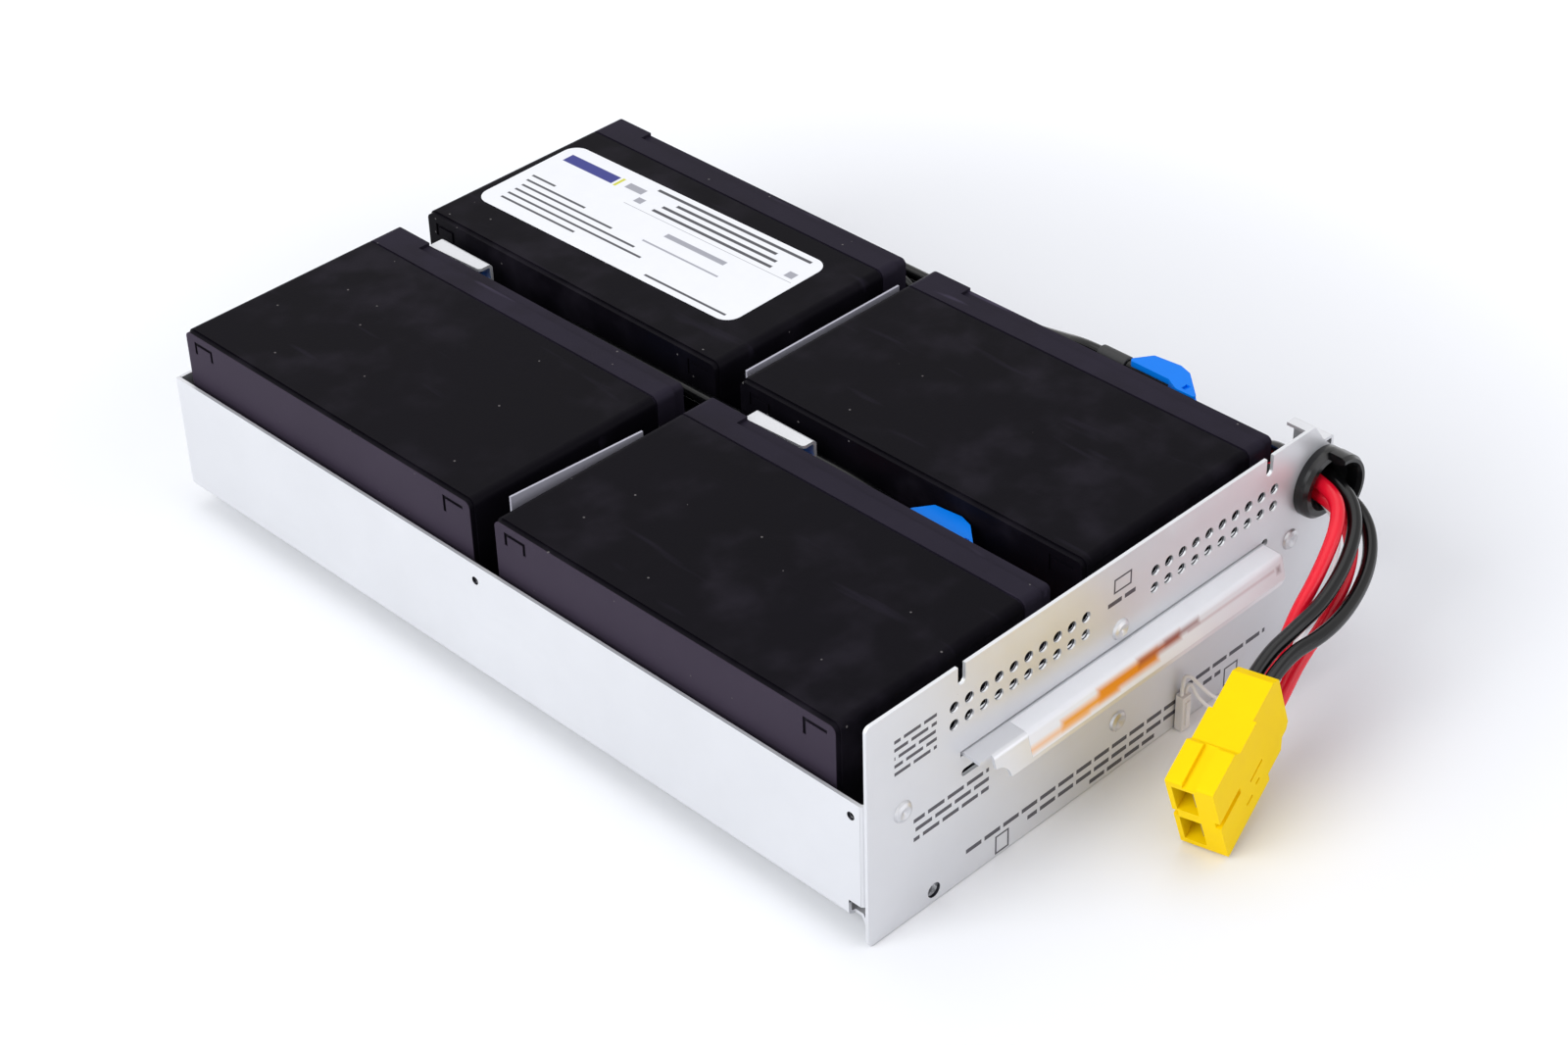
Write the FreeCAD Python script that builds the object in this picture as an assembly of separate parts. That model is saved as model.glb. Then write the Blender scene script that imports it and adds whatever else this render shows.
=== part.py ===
import FreeCAD, Part
import math
import os

# Battery cartridge for a two-rack-unit 24 V power backup: four 12 V sealed lead-acid blocks lying
# on their sides in a folded steel tray whose front panel carries the vents, the pull handle and
# the cable bushing. Millimetres. While modelling, x = 0 is the middle of the tray, y = 0 is the
# front face of the panel (+Y to the rear) and z = 0 is the panel's bottom edge. On export
# everything moves by SHIFT_Y, so that the origin is under the middle of the tray and its handle.

# --- driving dimensions ------------------------------------------------------------------------
SHIFT_Y = -161.0

SHEET = 1.2              # sheet steel thickness
PANEL_W = 223.0          # width of the panel and of the tray
PANEL_H = 84.0
TRAY_REAR = 332.5        # outer face of the rear wall
FLOOR_TOP = 9.0          # floor's upper face; the panel reaches below the floor
WALL_TOP = 53.5          # top of the left, right and rear walls
BEND = 1.6               # middle radius of the folds

VENT_R = 1.95
VENT_PITCH = 6.5
VENT_ROWS = (63.6, 70.2)
VENT_GROUPS = (-74.6, 16.3)      # x of the first hole of each group of ten
NOTCH_X = (-71.5, 71.5)          # key notches in the panel's top edge
SCREW_X = (-83.1, 83.1)          # fixing screw holes
SCREW_Z = 4.4
SCREW_R = 2.7
BUSH_X, BUSH_Z = 97.7, 62.0      # cable bushing
BUSH_HOLE_R = 9.6

BAT_L, BAT_W, BAT_H = 151.0, 65.0, 94.0      # a 12 V 9 Ah block: length Y, width Z, height X
LID_T = 13.7                                 # lid's share of the height
BAT_R = 3.0
BATTERIES = {                                # x of the base face and y of the front end
    "front_left": (-108.0, 15.0),
    "front_right": (0.0, 15.0),
    "rear_left": (-108.0, 177.0),
    "rear_right": (0.0, 177.0),
}
TERM_NEG = 41.0          # blades, measured from the front end of each battery
TERM_POS = 128.5
HOODED = {("neg", "front_left"): 68.2, ("neg", "front_right"): 73.0}   # raised insulators

WIRE_D = 4.8             # battery leads
SENSE_D = 1.3            # sense wires
EPS = 0.02


# --- small helpers -----------------------------------------------------------------------------
def vec(x, y, z):
    return FreeCAD.Vector(x, y, z)


def box(x0, x1, y0, y1, z0, z1):
    return Part.makeBox(x1 - x0, y1 - y0, z1 - z0, vec(x0, y0, z0))


def rod(x, y, z, radius, length, direction=(0, 1, 0)):
    return Part.makeCylinder(radius, length, vec(x, y, z), vec(*direction))


def one_solid(shape):
    solids = shape.Solids
    if len(solids) != 1:
        raise RuntimeError("expected one solid, got %d" % len(solids))
    return solids[0]


def save(shape, node):
    """Move a finished piece into the final frame and write it as its own STEP."""
    shape = shape.removeSplitter() if shape.ShapeType != "Compound" else shape
    piece = one_solid(shape)
    if not piece.isValid():
        raise RuntimeError(node + " is not valid")
    piece.translate(vec(0, SHIFT_Y, 0))
    piece.exportStep("parts/%s.step" % node)
    return piece


def ribbon(points, thickness, radius):
    """Closed outline, as edges in (u, v), of a folded strip whose middle line runs through points."""
    sides = {1: [], -1: []}
    count = len(points)
    for i, (u, v) in enumerate(points):
        if i in (0, count - 1):
            a, b = (points[0], points[1]) if i == 0 else (points[-2], points[-1])
            du, dv = b[0] - a[0], b[1] - a[1]
            n = math.hypot(du, dv)
            nu, nv = -dv / n, du / n
            for s in (1, -1):
                sides[s].append(("p", (u + s * nu * thickness / 2, v + s * nv * thickness / 2)))
            continue
        a, b = points[i - 1], points[i + 1]
        d0 = (u - a[0], v - a[1])
        d1 = (b[0] - u, b[1] - v)
        n0, n1 = math.hypot(*d0), math.hypot(*d1)
        d0 = (d0[0] / n0, d0[1] / n0)
        d1 = (d1[0] / n1, d1[1] / n1)
        cross = d0[0] * d1[1] - d0[1] * d1[0]
        dot = d0[0] * d1[0] + d0[1] * d1[1]
        turn = math.atan2(cross, dot)
        side = 1 if turn > 0 else -1
        reach = radius * math.tan(abs(turn) / 2)
        start = (u - d0[0] * reach, v - d0[1] * reach)
        centre = (start[0] - d0[1] * side * radius, start[1] + d0[0] * side * radius)
        for s in (1, -1):
            r = radius - s * side * thickness / 2
            arc = []
            for k in (0.0, 0.5, 1.0):
                ang = math.atan2(start[1] - centre[1], start[0] - centre[0]) + turn * k
                arc.append((centre[0] + r * math.cos(ang), centre[1] + r * math.sin(ang)))
            sides[s].append(("a", arc))
    outline = []

    def walk(items):
        last = None
        for kind, data in items:
            first = data if kind == "p" else data[0]
            if last is not None:
                outline.append((last, first))
            if kind == "a":
                outline.append(tuple(data))
            last = data if kind == "p" else data[-1]

    walk(sides[1])
    outline.append((sides[1][-1][1], sides[-1][-1][1]))
    back = [(k, d if k == "p" else d[::-1]) for k, d in reversed(sides[-1])]
    walk(back)
    outline.append((sides[-1][0][1], sides[1][0][1]))
    return outline


def prism(outline, plane, start, end):
    """Extrude an outline given as lines (2 points) and arcs (3 points) between two coordinates."""
    def lift(p):
        if plane == "xz":
            return vec(p[0], start, p[1])
        if plane == "yz":
            return vec(start, p[0], p[1])
        return vec(p[0], p[1], start)
    edges = []
    for item in outline:
        pts = [lift(p) for p in item]
        if len(pts) == 2:
            edges.append(Part.LineSegment(*pts).toShape())
        else:
            edges.append(Part.Arc(*pts).toShape())
    face = Part.Face(Part.Wire(Part.__sortEdges__(edges)))
    along = {"xz": (0, 1, 0), "yz": (1, 0, 0), "xy": (0, 0, 1)}[plane]
    return face.extrude(vec(*along) * (end - start))


def polygon(points, plane, start, end):
    ring = list(points) + [points[0]]
    return prism([(ring[i], ring[i + 1]) for i in range(len(points))], plane, start, end)


def fillet_along(shape, direction, radius, pick=None):
    """Round the straight edges that run along one axis; pick narrows them by their middle point."""
    axis = vec(*direction)
    edges = []
    for e in shape.Edges:
        if e.Curve.TypeId != "Part::GeomLine":
            continue
        d = e.Vertexes[-1].Point - e.Vertexes[0].Point
        if d.Length < 1e-6 or abs(abs(d.normalize().dot(axis)) - 1) > 1e-6:
            continue
        if pick is None or pick(e.CenterOfMass):
            edges.append(e)
    return shape.makeFillet(radius, edges)


def route(points, end_share=0.45):
    """A wire's middle line: straight runs joined by tangent arcs, as one Part.Wire.

    Each arc takes 0.45 of the shorter run beside it; end_share is used on the first and last run.
    """
    pts = [vec(*p) for p in points]
    edges = []
    radii = []
    last = pts[0]
    for i in range(1, len(pts) - 1):
        a, p, b = pts[i - 1], pts[i], pts[i + 1]
        d0 = (p - a).normalize()
        d1 = (b - p).normalize()
        turn = d0.getAngle(d1)
        reach = min((p - a).Length * (end_share if i == 1 else 0.45),
                    (b - p).Length * (end_share if i == len(pts) - 2 else 0.45))
        radius = reach / math.tan(turn / 2)
        radii.append(radius)
        start = p - d0 * reach
        end = p + d1 * reach
        inward = (d1 - d0).normalize()
        centre = p + inward * math.hypot(radius, reach)
        middle = centre - inward * radius
        edges.append(Part.LineSegment(last, start).toShape())
        edges.append(Part.Arc(start, middle, end).toShape())
        last = end
    edges.append(Part.LineSegment(last, pts[-1]).toShape())
    return Part.Wire(edges), radii


def wire_tube(points, diameter, node, end_share=0.45):
    """A round wire swept along its route; prints its length and the radius of every bend."""
    spine, radii = route(points, end_share)
    d = (vec(*points[1]) - vec(*points[0])).normalize()
    ring = Part.Wire(Part.Circle(vec(*points[0]), d, diameter / 2).toShape())
    tube = spine.makePipeShell([ring], True, True)
    want = math.pi * diameter ** 2 / 4 * spine.Length
    if abs(tube.Volume - want) > 0.02 * want:
        raise RuntimeError("%s has a bad volume" % node)
    print("%-18s length %.1f mm, radii %s" % (node, spine.Length,
                                              " ".join("%.1f" % r for r in radii)))
    return tube


# --- the folded tray and its front panel ---------------------------------------------------------
def panel_blank():
    """Front plate with rounded corners and the top right corner cut back behind the bushing."""
    half = PANEL_W / 2
    plate = polygon([(-half, 0), (half, 0), (half, 65.0), (99.0, 77.5), (94.5, PANEL_H),
                     (-half, PANEL_H)], "xz", 0, SHEET)
    return fillet_along(plate, (0, 1, 0), 2.0)


def panel_cuts():
    """Everything punched through the panel, as one list of cutting solids."""
    cuts = []
    for x0 in VENT_GROUPS:
        for z in VENT_ROWS:
            for i in range(10):
                cuts.append(rod(x0 + i * VENT_PITCH, -1, z, VENT_R, 4))
    for x in NOTCH_X:
        cuts.append(box(x - 1.65, x + 1.65, -1, 3, 78.6, 90))
        cuts.append(rod(x, -1, 78.6, 1.65, 4))
    for x in SCREW_X:
        cuts.append(rod(x, -1, SCREW_Z, SCREW_R, 9))
    cuts.append(box(-71.8, 71.2, -1, 3, 49.6, 51.6))
    cuts.append(rod(71.6, -1, 50.6, 1.6, 4))
    cuts.append(box(-69.8, -40.0, -1, 3, 41.4, 44.2))
    cuts.append(rod(-69.8, -1, 42.8, 1.4, 4))
    cuts.append(rod(-40.0, -1, 42.8, 1.4, 4))
    cuts.append(rod(BUSH_X, -1, BUSH_Z, BUSH_HOLE_R, 4))
    return cuts


RIVETS = {                      # x, z and how far the shank reaches behind the panel face
    "rivet_handle": (0.5, 56.4, 2.8),
    "rivet_angle": (1.0, 19.8, 2.8),
    "rivet_left": (-96.6, 44.2, 2.8),
    "rivet_right": (85.4, 44.9, 2.8),
}
RIVET_R = 2.4


def chassis_tray():
    """Tray and panel folded from one sheet: floor, three walls, front hem, panel, tabs and ear."""
    half = PANEL_W / 2
    mid = half - SHEET / 2
    floor_mid = FLOOR_TOP - SHEET / 2
    # floor and side walls as one channel
    channel = prism(ribbon([(-mid, WALL_TOP), (-mid, floor_mid), (mid, floor_mid),
                            (mid, WALL_TOP)], SHEET, BEND), "xz", 3.0, TRAY_REAR)
    inner = half - SHEET - BEND
    channel = channel.cut(box(-inner, inner, 0, 9.0, 5, 20))
    channel = channel.cut(box(-inner, inner, 324.0, 340, 5, 20))
    channel = channel.cut(box(-half - 1, half + 1, 0, 8.0, 5, 14.5).cut(
        box(-inner, inner, 0, 9, 5, 20)))
    # rear flap: end of the floor, fold and rear wall
    rear_mid = TRAY_REAR - SHEET / 2
    rear = prism(ribbon([(320.0, floor_mid), (rear_mid, floor_mid), (rear_mid, WALL_TOP)],
                        SHEET, BEND), "yz", -inner + 0.6, inner - 0.6)
    rear = rear.fuse(box(-half + SHEET + 0.3, half - SHEET - 0.3, TRAY_REAR - SHEET, TRAY_REAR,
                         FLOOR_TOP + 4.5, WALL_TOP))
    # front flap: floor edge, slope down to the hem at the table
    slope = polygon([(12.0, FLOOR_TOP - SHEET), (5.5, FLOOR_TOP - SHEET), (1.3, 0.0), (0.0, 0.0),
                     (0.0, 3.0), (1.2, 3.0), (4.8, FLOOR_TOP), (12.0, FLOOR_TOP)], "yz",
                    -inner, inner)
    # front tabs of the side walls, folded in behind the panel
    tab_mid = 0.35 + 1.5 * SHEET
    left = prism(ribbon([(-mid, 8.0), (-mid, tab_mid), (-88.0, tab_mid)], SHEET, BEND), "xy",
                 14.5, WALL_TOP)
    right = prism(ribbon([(mid, 8.0), (mid, tab_mid), (78.0, tab_mid)], SHEET, BEND), "xy",
                  14.5, WALL_TOP)
    keep = box(-110.0, 110.0, 0, 6, 36.0, 50.0)
    trim = box(-107.5, 107.5, 0, 6, 10, 60).cut(keep)
    left, right = left.cut(trim), right.cut(trim)
    # ear: a raised piece of the right wall with a small flange over the terminals
    ear = prism(ribbon([(mid, 48.0), (mid, 70.6), (106.2, 70.6)], SHEET, 1.2), "xz", 4.5, 19.5)
    body = panel_blank().fuse([slope, channel, rear, left, right, ear])
    body = body.removeSplitter()
    cuts = panel_cuts()
    for x, z, _ in RIVETS.values():
        cuts.append(rod(x, -1, z, RIVET_R + 0.02, 5))
    for x in (-half, half):
        for y, z in ((173.7, 47.0), (6.6, 48.0)):
            cuts.append(rod(x - 3, y, z, 1.5, 6, (1, 0, 0)))
    return one_solid(body.cut(cuts).removeSplitter())


def blind_rivet(x, z, depth):
    """Pull rivet seen from the front: domed head with a centre dimple, shank, flattened tail."""
    profile = [(0, -0.5), (0.9, -0.9), (2.2, -1.3), (3.3, -0.8), (3.75, -EPS), (RIVET_R, -EPS),
               (RIVET_R, depth + 0.25), (3.3, depth + 0.35), (3.1, depth + 1.3), (0, depth + 1.6)]
    pts = [vec(x + r, y, z) for r, y in profile]
    wire = Part.makePolygon(pts + [pts[0]])
    return Part.Face(wire).revolve(vec(x, 0, z), vec(0, 1, 0), 360)


# --- pull handle ---------------------------------------------------------------------------------
def pull_handle():
    """Folded strip: flange behind the panel, shelf out through the slot, lip turned down."""
    back = SHEET + 0.2 + SHEET / 2
    outline = ribbon([(back, 60.8), (back, 50.6), (-7.5, 50.2), (-9.92, 41.2)], SHEET, 1.3)
    strip = prism(outline, "yz", -66.0, 70.5)
    # the shelf is wider at the left, where the lip is cut back in a curve
    left = prism(ribbon([(back, 54.0), (back, 50.6), (-6.9, 50.224)], SHEET, 1.3), "yz", -71.0, -66.0)
    strip = strip.fuse(left).removeSplitter()
    strip = strip.cut(rod(-66.0, -14, 41.0, 5.5, 10))
    strip = strip.cut(rod(70.5, -14, 39.5, 3.0, 10))
    # hole for the rivet through the flange
    strip = strip.cut(rod(RIVETS["rivet_handle"][0], -2, RIVETS["rivet_handle"][1], RIVET_R + 0.02, 8))
    return one_solid(strip.removeSplitter())


def panel_angle():
    """Small angle between the panel and the floor at the middle of the tray."""
    back = SHEET + 0.2 + SHEET / 2
    leg = prism(ribbon([(back, 28.0), (back, FLOOR_TOP + 0.05 + SHEET / 2),
                        (13.6, FLOOR_TOP + 0.05 + SHEET / 2)], SHEET, BEND), "yz", -12.0, 14.0)
    leg = fillet_along(leg, (0, 1, 0), 3.0, lambda c: c.z > 20)
    x, z, _ = RIVETS["rivet_angle"]
    # the front hem's inner slope passes in front of the angle's fold
    leg = leg.cut(rod(x, 0, z, RIVET_R + 0.02, 6))
    leg = leg.cut(polygon([(0, 0), (7.2, 0), (7.2, 9.02), (4.83, 9.02), (1.2, 3.0)], "yz", -20, 20))
    return one_solid(leg.removeSplitter())


def terminal_guard(y0, y1, skew):
    """Folded guard over a positive terminal: foot on the floor, web, flange above the blade."""
    foot_mid = FLOOR_TOP + 0.05 + SHEET / 2
    guard = prism(ribbon([(-13.6, foot_mid), (-6.4, foot_mid), (-6.4, 71.3), (-13.4, 71.3)],
                         SHEET, 1.3), "xz", y0, y1)
    guard = guard.cut(polygon([(-14.2, y1 + 1), (-14.2, y0 - 1), (-13.3 + skew, y0 - 1),
                               (-13.3, y1 + 1)], "xy", 60, 80))
    guard = fillet_along(guard, (0, 0, 1), 1.5, lambda c: c.x < -11)
    return one_solid(guard.removeSplitter())


# --- batteries -----------------------------------------------------------------------------------
def battery_case(x0, y0):
    """Container with rounded long edges, a stepped foot band at the base and moulded marks."""
    length = BAT_H - LID_T
    z0, z1 = FLOOR_TOP + EPS, FLOOR_TOP + BAT_W
    case = box(x0, x0 + length, y0, y0 + BAT_L, z0, z1)
    case = fillet_along(case, (1, 0, 0), BAT_R)
    # stepped band round the base
    ring = box(x0 - 1, x0 + 2.0, y0 - 2, y0 + BAT_L + 2, z0 - 2, z1 + 2)
    core = fillet_along(box(x0 - 1, x0 + 2.0, y0 + 0.6, y0 + BAT_L - 0.6, z0 + 0.6, z1 - 0.6),
                        (1, 0, 0), BAT_R - 0.6)
    case = case.cut(ring.cut(core))
    # corner marks sunk into the base face near its upper edge
    cuts = []
    top = z1 - 3.2
    for ya, yb in ((y0 + 4.0, y0 + 14.0), (y0 + BAT_L - 15.0, y0 + BAT_L - 5.0)):
        cuts.append(box(x0 - 1, x0 + 0.5, ya, yb, top - 1.3, top))
    cuts.append(box(x0 - 1, x0 + 0.5, y0 + 12.7, y0 + 14.0, top - 6.5, top - 1.29))
    for ya in (y0 + BAT_L - 15.0, y0 + BAT_L - 6.3):
        cuts.append(box(x0 - 1, x0 + 0.5, ya, ya + 1.3, top - 5.0, top - 1.29))
    # lower pair of marks
    low = z0 + 3.2
    cuts.append(box(x0 - 1, x0 + 0.5, y0 + 4.0, y0 + 14.0, low, low + 1.3))
    cuts.append(box(x0 - 1, x0 + 0.5, y0 + BAT_L - 15.0, y0 + BAT_L - 5.0, low, low + 1.3))
    return one_solid(case.cut(cuts))


def battery_lid(x0, y0):
    """Lid with a joint groove, a rebate round its outer edge and a raised vent cover."""
    xa = x0 + BAT_H - LID_T + 0.05
    xb = x0 + BAT_H
    z0, z1 = FLOOR_TOP + EPS, FLOOR_TOP + BAT_W
    lid = fillet_along(box(xa, xb, y0, y0 + BAT_L, z0, z1), (1, 0, 0), BAT_R)
    # joint groove next to the container
    ring = box(xa - 1, xa + 0.9, y0 - 2, y0 + BAT_L + 2, z0 - 2, z1 + 2)
    core = fillet_along(box(xa - 1, xa + 0.9, y0 + 0.7, y0 + BAT_L - 0.7, z0 + 0.7, z1 - 0.7),
                        (1, 0, 0), BAT_R - 0.7)
    lid = lid.cut(ring.cut(core))
    # rebate along the outer strip, from the flush block at the rear round the front end
    step = 1.2
    rim = box(xb - 5.0, xb + 1, y0 - 2, y0 + BAT_L - 18.5, z0 - 2, z1 + 2)
    keep = fillet_along(box(xb - 6.0, xb + 2, y0 + step, y0 + BAT_L + 5, z0 + step, z1 - step),
                        (1, 0, 0), BAT_R - 1.0)
    lid = lid.cut(rim.cut(keep))
    # vent cover: a long plate sunk level, set off by a groove
    zc = (z0 + z1) / 2 - 4.0
    outer = fillet_along(box(xb - 0.6, xb + 1, y0 + 22, y0 + BAT_L - 24, zc - 17, zc + 13),
                         (1, 0, 0), 4.0)
    inner = fillet_along(box(xb - 1.0, xb + 2, y0 + 23.2, y0 + BAT_L - 25.2, zc - 15.8, zc + 11.8),
                         (1, 0, 0), 3.2)
    lid = lid.cut(outer.cut(inner))
    return one_solid(lid)


def blade_pair(x0, y0):
    """The two tin-plated blades of one battery on their base plates."""
    xb = x0 + BAT_H + EPS
    plates = []
    for along in (TERM_NEG, TERM_POS):
        y = y0 + along
        foot = box(xb, xb + 0.6, y - 4.2, y + 4.2, 54.5, 65.0)
        blade = box(xb + 0.3, xb + 6.2, y - 0.4, y + 0.4, 56.6, 62.9)
        blade = fillet_along(blade, (0, 1, 0), 1.6, lambda c: c.x > xb + 5)
        plates.append(foot.fuse(blade).removeSplitter())
    return plates


def blade_slot(xb, y):
    """Room for one blade in the foot of its insulator."""
    return box(xb, xb + 6.4, y - 0.55, y + 0.55, 56.3, 63.2)


def low_boot(xb, y, reach, s):
    """Blue insulator that lies close to the lid: sleeve over the blade and a barrel along Y.

    Returns the boot and the point where the wire ends inside the barrel.
    """
    ztop = 63.9
    ya, yb = sorted((y - s * 4.0, y + s * 8.0))
    boot = box(xb + 0.8, xb + reach, ya, yb, 53.8, ztop)
    boot = fillet_along(boot, (1, 0, 0), 1.8)
    b0, b1 = sorted((y + s * 6.0, y + s * 21.0))
    barrel = box(xb + reach - 6.2, xb + reach, b0, b1, ztop - 6.4, ztop)
    barrel = fillet_along(barrel, (0, 1, 0), 2.2)
    boot = boot.fuse(barrel).removeSplitter().cut(blade_slot(xb, y))
    end = y + s * 16.0
    xw, zw = xb + reach - 3.1, ztop - 3.2
    boot = boot.cut(rod(xw, min(end, end + s * 6.0), zw, WIRE_D / 2 + 0.03, 6.0))
    return one_solid(boot), (xw, end + s * EPS, zw)


def hooded_boot(xb, y, ztop):
    """Blue insulator of a raised flag connector: column over the blade, hood over the wire.

    Returns the boot and the point where the wire ends inside the column.
    """
    def plan(points):
        return [(xb + out, y + along) for out, along in points]

    hood = polygon(plan([(0.8, -8.1), (11.0, 3.0), (12.6, 8.0), (11.4, 18.6), (5.0, 23.0),
                         (3.6, 22.4), (3.5, 6.0), (0.8, 1.0)]), "xy", ztop - 2.2, ztop)
    hood = fillet_along(hood, (0, 0, 1), 0.8)
    column = polygon(plan([(0.8, -8.1), (11.0, 3.0), (12.0, 6.1), (3.5, 6.1), (0.8, 1.0)]),
                     "xy", 53.8, ztop - 1.0)
    flank = polygon(plan([(11.0, 3.0), (12.6, 8.0), (11.4, 18.6), (10.2, 19.0), (11.2, 8.0),
                          (9.6, 3.4)]), "xy", ztop - 7.5, ztop - 1.0)
    boot = hood.fuse([column, flank]).removeSplitter().cut(blade_slot(xb, y))
    xw, end, zw = xb + 6.6, y + 2.0, ztop - 5.2
    boot = boot.cut(rod(xw, end, zw, WIRE_D / 2 + 0.03, 6.0))
    # lock window on top
    boot = boot.cut(box(xb + 2.2, xb + 5.0, y - 2.2, y - 0.4, ztop - 0.9, ztop + 1))
    return one_solid(boot), (xw, end + EPS, zw)


def insulating_strip(x0, x1, z_left, z_right, skew):
    """Flat strip standing in the gap between the front and the rear battery."""
    strip = polygon([(x0, 50.0), (x1, 50.0), (x1, z_right), (x0, z_left)], "xz", 0, 0.8)
    strip.rotate(vec((x0 + x1) / 2, 0.4, 40), vec(0, 0, 1), skew)
    strip.translate(vec(0, 168.1, 0))
    return strip


# --- bushing ---------------------------------------------------------------------------------------
def cable_bushing():
    """Strain-relief bushing: front flange, body through the panel, rear nut and a half hood."""
    prof = [(6.9, 5.2), (6.9, -1.5), (9.0, -4.6), (11.0, -4.6), (12.2, -3.4), (12.4, -2.2),
            (12.4, -EPS), (BUSH_HOLE_R - 0.15, -EPS), (BUSH_HOLE_R - 0.15, SHEET + EPS),
            (11.4, SHEET + EPS), (11.4, 4.4), (10.6, 5.2)]
    pts = [vec(BUSH_X + r, y, BUSH_Z) for r, y in prof]
    ring = Part.Face(Part.makePolygon(pts + [pts[0]])).revolve(vec(BUSH_X, 0, BUSH_Z),
                                                              vec(0, 1, 0), 360)
    hood_prof = [(9.6, -4.0), (9.6, -8.6), (10.4, -10.2), (11.6, -10.2), (12.5, -8.8), (12.6, -4.0)]
    pts = [vec(BUSH_X, y, BUSH_Z + r) for r, y in hood_prof]
    hood = Part.Face(Part.makePolygon(pts + [pts[0]])).revolve(vec(BUSH_X, 0, BUSH_Z),
                                                              vec(0, 1, 0), 150)
    return one_solid(ring.fuse(hood).removeSplitter())


# --- connector -------------------------------------------------------------------------------------
PLUG_ALONG = vec(0.911, 0.214, 0.352).normalize()      # from the mating face to the cable end
PLUG_DOWN = vec(0.349, 0.050, -0.936)
PLUG_DOWN = (PLUG_DOWN - PLUG_ALONG * PLUG_DOWN.dot(PLUG_ALONG)).normalize()
PLUG_SIDE = PLUG_ALONG.cross(PLUG_DOWN) * -1.0
PLUG_ORIGIN = vec(-15.9, -45.64, 17.34)                # centre of the mating face
PLUG_L, PLUG_W, PLUG_T = 48.0, 36.0, 16.0
SOCKET_FLOOR = -1.2                                    # tongue side of the mating windows


def plug_placement():
    m = FreeCAD.Matrix()
    a, b, c = PLUG_ALONG, PLUG_DOWN, PLUG_ALONG.cross(PLUG_DOWN)
    m.A11, m.A21, m.A31 = a.x, a.y, a.z
    m.A12, m.A22, m.A32 = b.x, b.y, b.z
    m.A13, m.A23, m.A33 = c.x, c.y, c.z
    place = FreeCAD.Placement(m)
    place.Base = PLUG_ORIGIN
    return place


def plug_point(u, v, w):
    """A point of the connector's own frame (along, down, through) in the tray's frame."""
    p = plug_placement().multVec(vec(u, v, w))
    return (p.x, p.y, p.z)


def connector_housing():
    """Two-pole genderless block: wide mating end, narrower cable end, sockets and side keys."""
    hw, ht = PLUG_W / 2, PLUG_T / 2
    body = polygon([(0, -hw), (15.5, -hw), (18, -hw + 3.2), (44.5, -hw + 3.2),
                    (PLUG_L, -hw + 6.2), (PLUG_L, hw - 6.4), (46, hw - 4.4), (43, hw - 4.4),
                    (41, hw), (0, hw)], "xy", -ht, ht)
    body = fillet_along(body, (0, 0, 1), 0.8, lambda c: c.x < 40)
    # cable end slimmer in thickness, stepped
    for s in (1, -1):
        body = body.cut(box(30, 60, -30, 30, *sorted((s * (ht - 1.2), s * (ht + 2)))))
    # mating sockets: one window beside a solid tongue for each pole
    for vc in (-8.6, 8.6):
        body = body.cut(box(-1, 17, vc - 6.4, vc + 6.4, SOCKET_FLOOR, ht - 1.8))
    # round pockets for the wires
    for vc in (-8.0, 8.0):
        pocket = rod(PLUG_L - 9, vc, -2.6, 2.65, 12, (1, 0, 0))
        pocket = pocket.fuse(rod(PLUG_L - 9, vc, 2.6, 2.65, 12, (1, 0, 0)))
        pocket = pocket.fuse(box(PLUG_L - 9, PLUG_L + 3, vc - 2.65, vc + 2.65, -2.6, 2.6))
        body = body.cut(pocket)
    # side keys: groove on one narrow side, rib on the other
    body = body.cut(box(-1, 20, -hw - 1, -hw + 1.6, -2.4, 2.4))
    rib = box(3.0, 20, hw - 0.5, hw + 1.2, -2.1, 2.1)
    body = body.fuse(rib)
    # centre channel and short latch slots on both broad faces
    for s in (1, -1):
        body = body.cut(box(-1, 14, -1.4, 1.4, *sorted((s * (ht - 1.8), s * (ht + 1)))))
        for u0, u1, v in ((15.5, 19.5, 10.6), (22.5, 25.0, 8.8), (20.0, 28.5, 3.6)):
            body = body.cut(box(u0, u1, v, v + 1.1, *sorted((s * (ht - 0.9), s * (ht + 1)))))
    body = one_solid(body.removeSplitter())
    body.Placement = plug_placement()
    return body


def connector_contact(vc):
    """Silvered contact of one pole: flat spring tongue with a hooked tip, on the socket's floor."""
    f = SOCKET_FLOOR
    tongue = polygon([(1.6, f + 1.6), (3.2, f + 2.8), (5.0, f + 2.4), (16.9, f + 2.4),
                      (16.9, f + 0.9), (4.6, f + 0.9), (2.4, f + 0.6)], "xz",
                     vc - 4.6, vc + 4.6)
    tongue.Placement = plug_placement()
    return tongue


# --- sense plug ------------------------------------------------------------------------------------
SENSE_X, SENSE_Y, SENSE_H = 31.5, -2.0, 13.5


def sense_plug():
    """Small white two-way plug standing on the table, with a latch and two sockets below."""
    body = box(SENSE_X - 2.1, SENSE_X + 2.1, SENSE_Y - 1.65, SENSE_Y + 1.65, 0.02, SENSE_H)
    body = fillet_along(body, (0, 0, 1), 0.4)
    body = body.fuse(box(SENSE_X - 0.9, SENSE_X + 0.9, SENSE_Y - 2.3, SENSE_Y - 1.5, 2.0, 11.5))
    for x in (SENSE_X - 1.0, SENSE_X + 1.0):
        body = body.cut(box(x - 0.6, x + 0.6, SENSE_Y - 0.6, SENSE_Y + 0.6, -1, 4.5))
        body = body.cut(rod(x, SENSE_Y, SENSE_H - 2.5, 0.7, 4, (0, 0, 1)))
    return one_solid(body.removeSplitter())


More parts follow.
